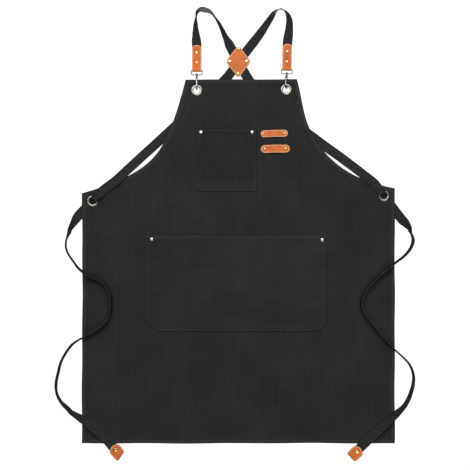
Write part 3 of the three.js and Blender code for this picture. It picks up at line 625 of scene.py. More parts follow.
def straight(start, end, step):
    """Points from one corner to the next, both included."""
    start, end = np.array(start, dtype=float), np.array(end, dtype=float)
    count = max(2, int(np.ceil(np.linalg.norm(end - start) / step)) + 1)
    return start + np.linspace(0, 1, count)[:, None] * (end - start)


def distance_along(path):
    """Distance from the start of a path to each of its points."""
    return np.concatenate([[0], np.cumsum(np.linalg.norm(np.diff(path, axis=0), axis=1))])


def at_marks(path, along, marks):
    """Points of a path at marked distances along it."""
    return np.stack([np.interp(marks, along, column) for column in path.T], axis=1)


def closed_sides(corners, step):
    """Straight sides from corner to corner and back to the first."""
    return [straight(a, b, step) for a, b in zip(corners, corners[1:] + corners[:1])]


def bezier(controls, step):
    """Evenly spaced points on a cubic curve."""
    t = np.linspace(0, 1, CURVE_POINTS)[:, None]
    weights = (1 - t) ** 3, 3 * (1 - t) ** 2 * t, 3 * (1 - t) * t ** 2, t ** 3
    points = np.array(controls, dtype=float)
    return respaced(sum(weight * point for weight, point in zip(weights, points)), step)


def respaced(curve, step):
    """The same polyline with even steps."""
    along = distance_along(curve)
    count = max(3, int(np.ceil(along[-1] / step)) + 1)
    return at_marks(curve, along, np.linspace(0, along[-1], count))


def arc(centre, radius_x, radius_y, start, end, count):
    """Points on an ellipse between two angles in degrees."""
    turn = np.radians(np.linspace(start, end, count))
    return np.stack([centre[0] + radius_x * np.cos(turn), centre[1] + radius_y * np.sin(turn)], axis=1)


def unit(vectors):
    return vectors / np.maximum(np.linalg.norm(vectors, axis=-1, keepdims=True), 1e-12)


def loops_inward(sides, depths):
    """Closed loops at depths inside an outline given as sides that run counter-clockwise."""
    tangents = [unit(np.gradient(side, axis=0)) for side in sides]
    count = len(sides)

    def corner(before, after):
        first, second = tangents[before][-1], tangents[after][0]
        turn = math.atan2(first[0] * second[1] - first[1] * second[0], float(first @ second))
        return math.tan(turn / 2)

    loops = []
    for depth in depths:
        points = []
        for i, side in enumerate(sides):
            normal = np.stack([-tangents[i][:, 1], tangents[i][:, 0]], axis=1)
            run = distance_along(side)
            share = (run / run[-1])[:, None]
            opening = corner((i - 1) % count, i)
            closing = corner(i, (i + 1) % count)
            slide = tangents[i] * (opening * (1 - share) - closing * share)
            points.append((side + depth * (normal + slide))[:-1])
        loops.append(np.concatenate(points))
    return loops


def inside(points, loop):
    """Which points lie within a closed loop."""
    x, y = points[:, 0, None], points[:, 1, None]
    x1, y1 = loop[:, 0], loop[:, 1]
    x2, y2 = np.roll(x1, -1), np.roll(y1, -1)
    rise = np.where(np.abs(y2 - y1) < 1e-12, 1e-12, y2 - y1)
    crossing = ((y1 > y) != (y2 > y)) & (x < (x2 - x1) * (y - y1) / rise + x1)
    return crossing.sum(axis=1) % 2 == 1


def clearance(points, others):
    """Distance from each point to the nearest of the others, worked out in batches."""
    nearest, batch_size = [], 2000
    for batch in np.array_split(points, len(points) // batch_size + 1):
        apart = batch[:, None, :] - others[None, :, :]
        nearest.append(np.sqrt((apart ** 2).sum(axis=2)).min(axis=1))
    return np.concatenate(nearest)


def pairs_round(start, size):
    """Each point of a closed loop with the next one, by number."""
    return [(start + i, start + (i + 1) % size) for i in range(size)]


def bands(rows, around, closed=False):
    """Corners of the faces between rows of points that each go round.

    They come as a point, the next one round, and the two beyond these in the next row.
    """
    for i in range(rows if closed else rows - 1):
        beyond = (i + 1) % rows * around
        for a, b in pairs_round(0, around):
            yield i * around + a, i * around + b, beyond + b, beyond + a


def end_caps(rows, around):
    """Faces that close the first and the last of rows of points that each go round."""
    last = (rows - 1) * around
    return [tuple(range(around)), tuple(range(last + around - 1, last - 1, -1))]


def filled(loop, holes, step):
    """A fine triangulation inside a loop, with holes left open."""
    low, high = loop.min(axis=0), loop.max(axis=0)
    row_gap, rim_gap = step * 0.87, step * 0.6
    rows = []
    for j, level_y in enumerate(np.arange(low[1], high[1], row_gap)):
        across = np.arange(low[0] + step * 0.5 * (j % 2), high[0], step)
        rows.append(np.stack([across, np.full(len(across), level_y)], axis=1))
    grid = np.concatenate(rows)
    fixed = np.concatenate([loop, *holes])
    grid = grid[inside(grid, loop) & (clearance(grid, fixed) > rim_gap)]
    for hole in holes:
        grid = grid[~inside(grid, hole)]
    points = np.concatenate([fixed, grid])
    edges, start = [], 0
    for closed in (loop, *holes):
        edges.extend(pairs_round(start, len(closed)))
        start += len(closed)
    inner_only = 1
    result = geometry.delaunay_2d_cdt([Vector(p) for p in points], edges, [], inner_only, 1e-6)
    if len(result[0]) != len(points):
        raise ValueError("an outline crosses itself")
    triangles = np.array(result[2])
    for hole in holes:
        triangles = triangles[~inside(points[triangles].mean(axis=1), hole)]
    return points, triangles


def flat_place(x, y, height):
    return np.stack([x, y, height], axis=1)


def panel(sides, depths, holes, step, top, bottom, place=flat_place):
    """A closed sheet within an outline, and the depth of each of its points inside it.

    Loops at the given depths follow its edge, so that a hem or a rounded rim can be formed on them.
    top and bottom give heights from x, y and depth; place turns x, y and height into a point.
    """
    loops = loops_inward(sides, depths)
    size = len(loops[0])
    inner, triangles = filled(loops[-1], holes, step)
    x, y = np.concatenate([*loops[:-1], inner]).T
    depth = np.concatenate([np.full(size, d) for d in depths[:-1]] + [np.full(len(inner), depths[-1])])
    count = len(depth)
    faces = []
    for a, b, c, d in bands(len(depths), size):
        faces += [(a, b, c, d), (a + count, d + count, c + count, b + count)]
    start = (len(depths) - 1) * size
    for a, b, c in triangles + start:
        faces += [(a, b, c), (a + count, c + count, b + count)]
    rims, first = [(0, size)], start + size
    for hole in holes:
        rims.append((first, len(hole)))
        first += len(hole)
    for first, length in rims:
        faces += [(b, a, a + count, b + count) for a, b in pairs_round(first, length)]
    points = np.concatenate([place(x, y, top(x, y, depth)), place(x, y, bottom(x, y, depth))])
    return (points, faces), np.concatenate([depth, depth])


def level(height):
    """A function for an underside at one height."""
    return lambda x, y: np.full(len(x), height)


def rounded_plate(sides, rim, drop, thickness, step, low, place=flat_place):
    """A plate whose rim falls away in a round; low gives the height of its underside."""
    depths, reach = rim

    def fall(depth):
        inward = np.clip(depth / reach, 0, 1)
        return drop * (1 - np.sqrt(np.clip(1 - (1 - inward) ** 2, 0, 1)))

    def top(x, y, depth):
        return low(x, y) + thickness - fall(depth)

    def bottom(x, y, depth):
        return low(x, y) + fall(depth)

    return panel(sides, depths, [], step, top, bottom, place)


def turned(points, degrees, x, y, z=0.0):
    """Points turned about Z and moved."""
    angle = math.radians(degrees)
    c, s = math.cos(angle), math.sin(angle)
    points = np.asarray(points, dtype=float)
    return np.stack([
        points[:, 0] * c - points[:, 1] * s + x,
        points[:, 0] * s + points[:, 1] * c + y,
        points[:, 2] + z,
    ], axis=1)


def full_turn(sides):
    """Angles of the corners of a many-sided circle."""
    return np.linspace(0, 2 * math.pi, sides, endpoint=False)


def lathe(profile, sides):
    """A profile of radius and height turned about Z.

    Ends on the axis close it; without them it closes on itself.
    """
    profile = np.asarray(profile, dtype=float)
    turn = full_turn(sides)
    capped = profile[0, 0] == 0
    body = profile[1:-1] if capped else profile
    rows = [np.stack([r * np.cos(turn), r * np.sin(turn), np.full(sides, z)], axis=1) for r, z in body]
    points = np.concatenate(rows)
    faces = list(bands(len(body), sides, closed=not capped))
    if capped:
        bottom, top = len(points), len(points) + 1
        last = bottom - sides
        for a, b in pairs_round(0, sides):
            faces += [(bottom, b, a), (top, last + a, last + b)]
        points = np.concatenate([points, [[0, 0, profile[0, 1]], [0, 0, profile[-1, 1]]]])
    return points, faces


def swept(path, radius, sides):
    """A round bar along a closed path that lies in one level plane."""
    tangent = unit(np.roll(path, -1, axis=0) - np.roll(path, 1, axis=0))
    out = np.stack([tangent[:, 1], -tangent[:, 0], np.zeros(len(path))], axis=1)
    turn = full_turn(sides)[:, None]
    rings = path[:, None] + radius * (np.cos(turn) * out[:, None] + np.sin(turn) * UP)
    faces = [(b, a, d, c) for a, b, c, d in bands(len(path), sides, closed=True)]
    return rings.reshape(-1, 3), faces


def stitches(path, pitch, thread):
    """A run of sewn stitches along points on a surface, each a short bead of thread."""
    along = distance_along(path)
    marks = np.arange(pitch * 0.5, along[-1] - pitch * 0.4, pitch)
    ahead, behind = (at_marks(path, along, marks + pitch * share) for share in (0.3, -0.3))
    tangent = unit(ahead - behind)
    right = unit(np.cross(tangent, UP))
    lift = np.cross(right, tangent)
    reach, half = pitch * BEAD_SHARE, thread * 0.5
    turn = full_turn(BEAD_SIDES)
    faces = [(b, a, d, c) for a, b, c, d in bands(len(BEAD), BEAD_SIDES)] + end_caps(len(BEAD), BEAD_SIDES)
    beads = []
    for m, t, r, u in zip(at_marks(path, along, marks), tangent, right, lift):
        points = [
            m + t * (run * reach) + u * (rise * half)
            + half * wide * (math.cos(angle) * r + math.sin(angle) * u)
            for run, wide, rise in BEAD
            for angle in turn
        ]
        beads.append((points, faces))
    return joined(beads)


def sewn(line, depth, top, sizes):
    """Stitches along a line on cloth, at a depth from its edge; top gives the cloth's height."""
    x, y = line.T
    heights = top(x, y, np.full(len(line), depth)) + THREAD_RISE
    return stitches(flat_place(x, y, heights), sizes["stitch_pitch"], sizes["thread"])


def creases(seed, count, box, length, width, height):
    """Rows of soft ridges: place, direction, half length, half width and height."""
    rng = np.random.default_rng(seed)
    left, low, right, top = box
    return np.stack([
        rng.uniform(left, right, count),
        rng.uniform(low, top, count),
        rng.normal(math.pi / 2, 0.5, count),
        rng.uniform(0.4, 1, count) * length,
        rng.uniform(0.5, 1, count) * width,
        rng.uniform(0.3, 1, count) * height,
    ], axis=1)


def crease_height(rows, x, y):
    """Height of all the ridges at points."""
    total = np.zeros_like(x)
    for centre_x, centre_y, turn, length, width, height in rows:
        dx, dy = x - centre_x, y - centre_y
        run = dx * math.cos(turn) + dy * math.sin(turn)
        side = dy * math.cos(turn) - dx * math.sin(turn)
        total += height * np.exp(-((run / length) ** 2) - (side / width) ** 2)
    return total


def wavy(place, waves, run):
    """One coordinate of an edge with waves added that run along the other one."""
    return sum((height * np.sin(run / length + start) for height, length, start in waves), place)


def uneven(side):
    """A cut edge as it lies: a shade wider than drawn, and never quite straight."""
    x, y = side.T
    return np.stack([wavy(x * EDGE_SPREAD, SIDEWAYS_WAVES, y), wavy(y, UPWARD_WAVES, x)], axis=1)


def body_sides(step):
    """The body's outline from the bib's left corner, counter-clockwise."""
    hem_left, hem_right = (BODY["left"], BODY["hem"]), (BODY["right"], BODY["hem"])
    sides = [
        bezier(ARMHOLE_LEFT, step),
        straight(ARMHOLE_LEFT[-1], hem_left, step),
        straight(hem_left, hem_right, step),
        straight(hem_right, ARMHOLE_RIGHT[-1], step),
        bezier(ARMHOLE_RIGHT[::-1], step),
        straight(ARMHOLE_RIGHT[0], ARMHOLE_LEFT[0], step),
    ]
    return [uneven(side) for side in sides]


BODY_CREASES = creases(seed=11, count=46, box=(-330, -450, 345, 60), length=120, width=16, height=0.75)


def beyond_pocket(pocket, x, y):
    """Distance outside a pocket's box, below zero inside it."""
    return np.maximum.reduce([
        pocket["left"] - x, x - pocket["right"], pocket["low"] - y, y - pocket["top"]])


def pressed_flat(x, y):
    """One on open cloth, falling to nothing under pockets and tool loops."""
    free = np.ones_like(x)
    for pocket in POCKETS.values():
        free = free * smoothstep(beyond_pocket(pocket, x, y), *CREASED_PAST_POCKET)
    for loop_x, loop_y, *_ in TOOL_LOOPS.values():
        free = free * smoothstep(np.hypot(x - loop_x, y - loop_y), *CREASED_PAST_LOOP)
    return free


def body_ripple(x, y):
    """Soft creases of the laid cloth."""
    return crease_height(BODY_CREASES, x, y) * pressed_flat(x, y)


def hem_profile(depth, hem, rise):
    """How far a turned hem stands above one layer, with a dip along its stitching."""
    full = rise * (1 - smoothstep(depth, hem, hem + HEM_STEP))
    dip = 0.45 * rise * np.exp(-(((depth - hem + STITCH_INSET) / 0.8) ** 2))
    rounding = 0.75 * np.clip(1 - depth / HEM_ROUND, 0, 1) ** 2
    return full - dip - rounding


def painted_seam_shade(depth, hem):
    """Painted shade on the cloth along a hem's stitching and beside its inner step."""
    stitched = np.exp(-(((depth - hem + STITCH_INSET) / 0.7) ** 2))
    step = np.exp(-(((depth - hem - 0.5) / 0.9) ** 2))
    return np.clip(0.6 * stitched + 0.8 * step, 0, 1)


def rivet_profile(low, high, cap):
    """A domed cap with a rim, a shank, and a flat back cap."""
    gap, shank = 0.05, 1.35
    front, back = high + gap, low - gap
    dome = [(cap * math.cos(a) * 0.92, front + 0.5 + 0.8 * math.sin(a)) for a in np.linspace(0.0, 1.45, 9)]
    return [
        (0, back - 0.9), (2.2, back - 0.9), (3.1, back - 0.7), (3.4, back - 0.25), (3.3, back),
        (shank, back), (shank, front), (cap * 0.96, front), (cap, front + 0.2), (cap * 0.97, front + 0.42),
        *dome, (0, front + 1.31),
    ]


def add_rivet(context, kind, number, spot, low, high, finish="rivet"):
    """One rivet through everything between two heights."""
    name = f"{kind}_rivet_{number}"
    points, faces = lathe(rivet_profile(low, high, RIVET_CAPS[kind]), SIDES["rivet"])
    placed = points + np.array([spot[0], spot[1], 0])
    dress(add_piece(context, name + "_turned", (placed, faces), finish), "brass", name)


def add_leather(context, name, points, faces, edge):
    """One piece of leather, paler towards its edge."""
    piece = add_piece(context, name + "_leather", (points, faces), "leather", {"edge": edge})
    dress(piece, "leather", name)


def add_cast(context, name, shapes, roll, place, body=APRON):
    """One piece of a snap hook, rolled about the strap and put in place."""
    points, faces = joined(shapes)
    piece = add_piece(context, name + "_cast", (rolled(points, roll, place), faces), "nickel")
    dress(piece, "nickel", name, body=body)


class APRON_OT_stage(bpy.types.Operator):
    """Lay the floor, set the lights and point the camera straight down"""

    bl_idname = "apron.stage"
    bl_label = "Stage"

    def execute(self, context):
        corners = [(x * FLOOR_HALF, y * FLOOR_HALF, 0) for x, y in ((-1, -1), (1, -1), (1, 1), (-1, 1))]
        floor = add_piece(context, "floor", (corners, [(0, 1, 2, 3)]), "floor", smooth=False)
        floor.location.z = -FLOOR_DROP * MM
        for name, (place, size, power) in LIGHTS.items():
            self.add_light(context, name, place, size, power)
        self.light_room(context)
        self.add_camera(context)
        context.scene.view_settings.view_transform = "Standard"
        context.scene.view_settings.look = "None"
        return {"FINISHED"}

    def add_light(self, context, name, place, size, power):
        light = bpy.data.lights.new(name, "AREA")
        light.shape = "RECTANGLE"
        light.size, light.size_y = size
        light.energy = power
        lamp = bpy.data.objects.new(name, light)
        lamp.location = place
        lamp.rotation_euler = (-Vector(place)).to_track_quat("-Z", "Y").to_euler()
        context.scene.collection.objects.link(lamp)

    def light_room(self, context):
        world = bpy.data.worlds.new("soft room")
        world.use_nodes = True
        background = world.node_tree.nodes["Background"]
        background.inputs["Color"].default_value = (1, 1, 1, 1)
        background.inputs["Strength"].default_value = ROOM_LIGHT
        context.scene.world = world

    def add_camera(self, context):
        camera = bpy.data.cameras.new("camera")
        camera.lens = LENS
        camera.sensor_width = SENSOR
        camera.sensor_fit = "AUTO"
        eye = bpy.data.objects.new("camera", camera)
        eye.location = (0, VIEW_MIDDLE * MM, (VIEW_WIDTH * LENS / SENSOR + CLOTH_HEIGHT) * MM)
        context.scene.collection.objects.link(eye)
        context.scene.camera = eye


class APRON_OT_canvas(bpy.types.Operator):
    """Cut, hem and stitch the body panel"""

    bl_idname = "apron.canvas"
    bl_label = "Canvas body"

    def execute(self, context):
        sizes = sizes_in_mm(context)
        canvas, hem, rise = sizes["canvas"], sizes["hem"], sizes["hem_rise"]
        seam = hem - STITCH_INSET
        outline = body_sides(STEP["body_edge"])
        holes = [arc((x, y), RING_SEAT, RING_SEAT, 0, 345, 24)[::-1] for x, y, *_ in RINGS.values()]
        depths = [0, 0.5, 1.3, hem - 2.6, seam, hem - 0.7, hem, hem + HEM_STEP]

        def bottom(x, y, depth):
            return cloth_lift(x, y) + body_ripple(x, y)

        def top(x, y, depth):
            return bottom(x, y, depth) + canvas + hem_profile(depth, hem, rise)

        shape, depth = panel(outline, depths, holes, STEP["body"], top, bottom)
        # The hem band is paler, partly from wear and partly as a painted highlight; painted shade lies
        # along its stitching and inner step.
        numbers = {
            "wear": 0.1 * (1 - smoothstep(depth, hem - 2.4, hem)),
            "seam": 0.5 * painted_seam_shade(depth, hem),
        }
        body = add_piece(context, "canvas_body_cloth", shape, "canvas", numbers)
        dress(body, "canvas", "canvas_body")
        loop = loops_inward(body_sides(STEP["seam"]), [seam])[0]
        stitching = sewn(np.concatenate([loop, loop[:1]]), seam, top, sizes)
        thread = dress(add_piece(context, "canvas_body_stitching", stitching, "thread"), "canvas")
        return {"FINISHED"}


def pocket_sides(pocket, step):
    """A pocket's outline from its upper left corner, counter-clockwise."""
    left, right, low, top = pocket["left"], pocket["right"], pocket["low"], pocket["top"]

    def lower_corner(x, inward, cut):
        if cut is None:
            return [(x, low)]
        wide, tall = cut
        return [(x, low + tall), (x + inward * wide, low)]

    lower_left = lower_corner(left, 1, pocket["left_cut"])
    lower_right = lower_corner(right, -1, pocket["right_cut"])[::-1]
    return closed_sides([(left, top), *lower_left, *lower_right, (right, top)], step)


def pocket_low(pocket, canvas):
    """A function for the underside of a pocket: sewn down at its edges, slack at its mouth."""
    def low(x, y):
        across = np.clip((x - pocket["left"]) / (pocket["right"] - pocket["left"]), 0, 1)
        upward = np.clip((y - pocket["low"]) / (pocket["top"] - pocket["low"]), 0, 1)
        slack = pocket["slack"] * np.sin(math.pi * across) * upward ** 2
        return cloth_lift(x, y) + canvas + SEWN_GAP + slack
    return low


class APRON_OT_pockets(bpy.types.Operator):
    """Cut, hem and sew on the patch pockets, with a rivet at each upper corner"""

    bl_idname = "apron.pockets"
    bl_label = "Pockets"

    def execute(self, context):
        sizes = sizes_in_mm(context)
        for index, (name, pocket) in enumerate(POCKETS.items()):
            self.sew_pocket(context, sizes, name, pocket, index)
        for number, (name, x, y) in enumerate(POCKET_RIVETS, start=1):
            low = pocket_low(POCKETS[name], sizes["canvas"])
            under = float(cloth_lift(x, y))
            over = float(low(x, y)) + sizes["canvas"] + sizes["hem_rise"] * PRESSED_HEM
            add_rivet(context, "pocket", number, (x, y), under, over, "pocket_rivet")
        return {"FINISHED"}

    def sew_pocket(self, context, sizes, name, pocket, index):
        canvas, rise, hem = sizes["canvas"], sizes["hem_rise"], sizes["hem"]
        low = pocket_low(pocket, canvas)
        box = [pocket[edge] for edge in ("left", "low", "right", "top")]
        rows = creases(seed=31 + index, count=16, box=box, length=60, width=14, height=0.5)

        def ripple(x, y):
            return crease_height(rows, x, y) * smoothstep(-beyond_pocket(pocket, x, y), 6, 30)

        def top(x, y, depth):
            mouth = pocket["top"] - y
            band = 0.5 * rise * (1 - smoothstep(mouth, pocket["mouth_hem"], pocket["mouth_hem"] + 1.5))
            turned_in = hem_profile(depth, hem, rise)
            return low(x, y) + canvas + np.maximum(turned_in, band * (depth > 1.4)) + ripple(x, y)

        def bottom(x, y, depth):
            return low(x, y) + ripple(x, y)

        depths = [0, 0.5, 1.3, 2.6, hem - STITCH_INSET, hem - 0.6, hem, hem + HEM_STEP]
        outline = pocket_sides(pocket, STEP["pocket_edge"])
        shape, depth = panel(outline, depths, [], STEP["pocket"], top, bottom)
        y = shape[0][:, 1]
        # The mouth's edge is paler, partly from wear and partly as a painted highlight; painted shade lies
        # along the pocket's outer edges and stitching.
        mouth_wear_and_highlight = 0.15 * (1 - smoothstep(pocket["top"] - y, 2, 5)) * (depth > 0.4)
        numbers = {
            "wear": mouth_wear_and_highlight + pocket["pale"] * smoothstep(y - pocket["low"], *POCKET_SHADE),
            "seam": np.clip(painted_seam_shade(depth, hem) * 0.4 + 0.5 * (1 - smoothstep(depth, 0.3, 1.5)), 0, 1),
            "cross": np.full(len(depth), pocket["cross"]),
        }
        cloth = dress(add_piece(context, name + "_cloth", shape, "canvas", numbers), "canvas", name)
        thread = self.stitch_pocket(context, sizes, name, pocket, top)

    def stitch_pocket(self, context, sizes, name, pocket, top):
        """Two rows round the sewn sides, and one under the mouth."""
        runs = []
        sides = pocket_sides(pocket, STEP["seam"])
        open_side = len(sides[-1]) - 1
        depths = [OUTER_ROW, sizes["hem"] - STITCH_INSET]
        for depth, loop in zip(depths, loops_inward(sides, depths)):
            runs.append(sewn(loop[:len(loop) - open_side + 1], depth, top, sizes))
        x = np.arange(pocket["left"] + MOUTH_INSET, pocket["right"] - MOUTH_INSET, STEP["seam"])
        y = np.full(len(x), pocket["top"] - pocket["mouth_hem"] + MOUTH_INSET)
        runs.append(sewn(np.stack([x, y], axis=1), pocket["mouth_hem"], top, sizes))
        return dress(add_piece(context, name + "_stitching", joined(runs), "thread"), "canvas")


def leather_leaf(sides, thickness, step, low, place=flat_place):
    """Points and faces of a leather plate with rounded edges, and how near the edge each point is."""
    (points, faces), depth = rounded_plate(
        sides, LEATHER_RIM, 0.42 * thickness, thickness, step, low, place)
    return points, faces, 1 - smoothstep(depth, 0.5, 2.6)


def loop_outline(length, width):
    """A strip with round ends, counter-clockwise."""
    radius, step = width / 2, STEP["tool_loop_edge"]
    flat = length / 2 - radius
    return np.concatenate([
        straight((-flat, -radius), (flat, -radius), step)[:-1],
        arc((flat, 0), radius, radius, -90, 90, 20)[:-1],
        straight((flat, radius), (-flat, radius), step)[:-1],
        arc((-flat, 0), radius, radius, 90, 270, 20),
    ])


def bowed(seat):
    """A function for the underside of a tool loop: down at both ends and bowed up between them."""
    def low(x, y):
        reach = np.clip(np.abs(x) / TOOL_LOOP["ramp_to"], 0, 1)
        return seat + PIECE_GAP + TOOL_LOOP["bow"] * np.cos(reach * math.pi / 2) ** 2
    return low


class APRON_OT_tool_loops(bpy.types.Operator):
    """Cut the leather tool loops and rivet them down at both ends"""

    bl_idname = "apron.tool_loops"
    bl_label = "Tool loops"

    def execute(self, context):
        sizes = sizes_in_mm(context)
        leather, canvas = sizes["leather"], sizes["canvas"]
        rivet = 0
        for name, (x, y, turn, length, width) in TOOL_LOOPS.items():
            seat = float(cloth_lift(x, y)) + canvas
            outline = loop_outline(length, width)
            points, faces, edge = leather_leaf([outline], leather, STEP["tool_loop"], bowed(seat))
            add_leather(context, name, turned(points, turn, x, y), faces, edge)
            for end in (-1, 1):
                rivet += 1
                spot = turned([(end * TOOL_LOOP["rivet"], 0, 0)], turn, x, y)[0]
                over = seat + PIECE_GAP + leather
                add_rivet(context, "tool", rivet, spot, seat - canvas, over, "worn_rivet")
        return {"FINISHED"}


class APRON_OT_grommets(bpy.types.Operator):
    """Clamp a rolled metal ring at each upper corner and each side"""

    bl_idname = "apron.grommets"
    bl_label = "Grommets"

    def execute(self, context):
        canvas = sizes_in_mm(context)["canvas"]
        for name, (x, y, lift, _, _) in RINGS.items():
            points, faces = lathe(self.ring_profile(canvas), SIDES["ring"])
            placed = points + np.array([x, y, lift + canvas / 2])
            dress(add_piece(context, name + "_turned", (placed, faces), "brass"), "brass", name)
        return {"FINISHED"}

    def ring_profile(self, canvas):
        """A rolled front flange, the barrel, and a flat washer behind."""
        hole, barrel, flange = 7.2, 7.9, 12.4
        grip = canvas / 2 + 0.12
        middle = (hole + flange) / 2
        half = (flange - hole) / 2
        roll = [
            (middle - half * math.cos(a), grip + 0.15 + 1.65 * math.sin(a) ** 0.8)
            for a in np.linspace(math.pi, 0.0, 13)
        ]
        return [
            (hole, -grip - 0.7), (hole + 0.3, -grip - 1.1), (flange - 1.4, -grip - 1.1),
            (flange - 0.5, -grip - 0.6), (flange - 0.4, -grip), (barrel, -grip), (barrel, grip),
            (flange - 0.2, grip), *roll,
        ]


def rows_around(values, t):
    """The two rows before and the two after each place, and the share of the way between the middle two.

    t counts rows; one row is made up beyond each end.
    """
    padded = np.concatenate([[2 * values[0] - values[1]], values, [2 * values[-1] - values[-2]]])
    index = np.minimum(t.astype(int), len(values) - 2)
    return [padded[index + k] for k in range(4)], (t - index)[:, None]


def catmull_plan(points, t):
    """Points on a centripetal Catmull-Rom curve."""
    (p0, p1, p2, p3), part = rows_around(points, t)
    step = [np.sqrt(np.maximum(np.linalg.norm(b - a, axis=1, keepdims=True), 1e-4))
            for a, b in ((p0, p1), (p1, p2), (p2, p3))]
    first = ((p1 - p0) / step[0] - (p2 - p0) / (step[0] + step[1]) + (p2 - p1) / step[1]) * step[1]
    second = ((p2 - p1) / step[1] - (p3 - p1) / (step[1] + step[2]) + (p3 - p2) / step[2]) * step[1]
    return hermite(p1, p2, first, second, part)


def catmull_lie(values, t, tension=0.2):
    """Values between rows with slack tangents, so that they hardly overshoot."""
    (p0, p1, p2, p3), part = rows_around(values, t)
    return hermite(p1, p2, tension * (p2 - p0), tension * (p3 - p1), part)


def hermite(start, end, leave, arrive, part):
    square, cube = part ** 2, part ** 3
    return (
        (2 * cube - 3 * square + 1) * start + (cube - 2 * square + part) * leave
        + (3 * square - 2 * cube) * end + (cube - square) * arrive
    )


def strap_table(name, web_width, web_thick):
    """Rows of x, y, lift, bank, width and cup along a strap."""
    shoulder, ring, heading, tie, _ = STRAPS[name]
    ring_x, ring_y = RINGS[ring][:2]
    through = [
        (ring_x + heading[0] * past, ring_y + heading[1] * past,
         height - 0.5 * web_thick * web_width / width, 0, width, cup)
        for past, height, width, cup in RING_PASS
    ]
    plain = [[(*row, web_width, 0) for row in rows] for rows in (shoulder, tie)]
    return np.array(plain[0] + through + plain[1], dtype=float)


def strap_stations(name, web_width, web_thick, step):
    """Middles, frames, widths and cups along a strap, closely spaced."""
    table = strap_table(name, web_width, web_thick)
    edge_up = STRAPS[name][4]
    marks = []
    for i in range(len(table) - 1):
        count = max(3, int(round(np.linalg.norm(table[i + 1, :2] - table[i, :2]) / step)))
        marks.append(i + np.arange(count) / count)
    t = np.concatenate([*marks, [len(table) - 1]])
    plan = catmull_plan(table[:, :2], t)
    lift, bank, width, cup = catmull_lie(table[:, 2:], t).T
    upright = smoothstep(90 - np.abs(90 - np.abs(bank)), *STANDING)
    upright = upright * (1 - smoothstep(plan[:, 1], *TIE_BELOW))
    plan = plan * (1 - NEARER * upright)[:, None]
    bank = np.radians(bank + PAST_UPRIGHT * upright)
    thick = web_thick * web_width / width
    z = lift + (np.abs(np.sin(bank)) * width + np.abs(np.cos(bank)) * thick) / 2
    middle = np.concatenate([plan, z[:, None]], axis=1)
    ahead = np.concatenate([middle[1:], middle[-1:]])
    behind = np.concatenate([middle[:1], middle[:-1]])
    along = unit(ahead - behind)
    right = unit(np.cross(along, UP))
    face = np.cross(right, along)
    lean = (bank * edge_up)[:, None]
    across = right * np.cos(lean) + face * np.sin(lean)
    out = face * np.cos(lean) - right * np.sin(lean)
    return middle, across, out, width, thick, cup


def bent_section(width, full, thick, cup):
    """A web's section as offsets across and outward: flat, or curled so that it spans a smaller width."""
    share = np.clip(width / full, 0.2, 0.9999)
    low, high = 1e-3, math.pi - 1e-3
    for _ in range(40):
        half = (low + high) / 2
        if math.sin(half) / half > share:
            low = half
        else:
            high = half
    radius = full / (2 * half)
    run = np.linspace(-1, 1, WEB_POINTS)
    angle = run * half
    sagitta = radius * (1 - math.cos(half))
    rise = -cup * sagitta / 2
    # The edges are a little thicker than the middle, and rounded at the very end
    edge = 0.12 * np.exp(-(((1 - np.abs(run)) / 0.08) ** 2))
    depth = 0.5 * thick + edge - 0.35 * thick * np.clip((np.abs(run) - 0.96) / 0.04, 0, 1)

    def face(reach):
        return np.stack([reach * np.sin(angle), radius - reach * np.cos(angle) + rise], axis=1)

    return np.concatenate([face(radius + depth), face(radius - depth)[::-1]])


class APRON_OT_straps(bpy.types.Operator):
    """Lay both lengths of webbing over the shoulders, through the rings and out as ties"""

    bl_idname = "apron.straps"
    bl_label = "Straps"

    def execute(self, context):
        sizes = sizes_in_mm(context)
        for name in STRAPS:
            self.lay_strap(context, name, sizes["webbing"], sizes["webbing_thick"])
        return {"FINISHED"}

    def lay_strap(self, context, name, full, thick):
        middle, across, out, width, folded, cup = strap_stations(name, full, thick, STEP["strap"])
        run = distance_along(middle)
        u = np.linspace(0, 1, WEB_POINTS)
        both_faces = np.concatenate([u, u[::-1]])
        rows, around = len(middle), len(both_faces)
        vertices, uv, edge = [], [], []
        for i in range(rows):
            section = bent_section(width[i], full, thick, cup[i])
            seat = 0.5 * (thick - folded[i]) * (1 - cup[i])
            vertices.append(middle[i] + section[:, :1] * across[i] + (section[:, 1:] + seat) * out[i])
            uv.append(np.stack([both_faces, np.full(around, run[i] * MM)], axis=1))
            # Painted highlight on the upper edge where the web stands on edge
            edge.append(smoothstep(np.abs(2 * both_faces - 1), 0.8, 1) * across[i][2] ** 2)
        faces = [(a, d, c, b) for a, b, c, d in bands(rows, around)] + end_caps(rows, around)
        shape = (np.concatenate(vertices), faces)
        # Painted sheen where the strap bends over the shoulder
        sheen_at, reach, strength = PAINTED_SHEEN[name]
        faded = strength * np.exp(-(((run - sheen_at) / reach) ** 4))
        numbers = {"edge": np.concatenate(edge), "faded": np.repeat(faded, around)}
        web = add_piece(context, name + "_webbing", shape, "webbing", numbers, np.concatenate(uv))
        dress(web, "webbing", name)
        full * MM


def patch_outline():
    """The diamond with rounded corners, counter-clockwise."""
    corners = np.array([
        (0, PATCH["half_height"]), (-PATCH["half_width"], 0), (0, -PATCH["half_height"]),
        (PATCH["half_width"], 0),
    ], dtype=float)
    pieces = []
    t = np.linspace(0, 1, 12)[:, None]
    for i in range(4):
        point, before, after = corners[i], corners[i - 1], corners[(i + 1) % 4]
        start = point + PATCH["corner"] * (before - point)
        end = point + PATCH["corner"] * (after - point)
        pieces.append((1 - t) ** 2 * start + 2 * (1 - t) * t * point + t ** 2 * end)
    outline = np.concatenate([*pieces, pieces[0][:1]])
    return respaced(outline, STEP["patch_edge"])


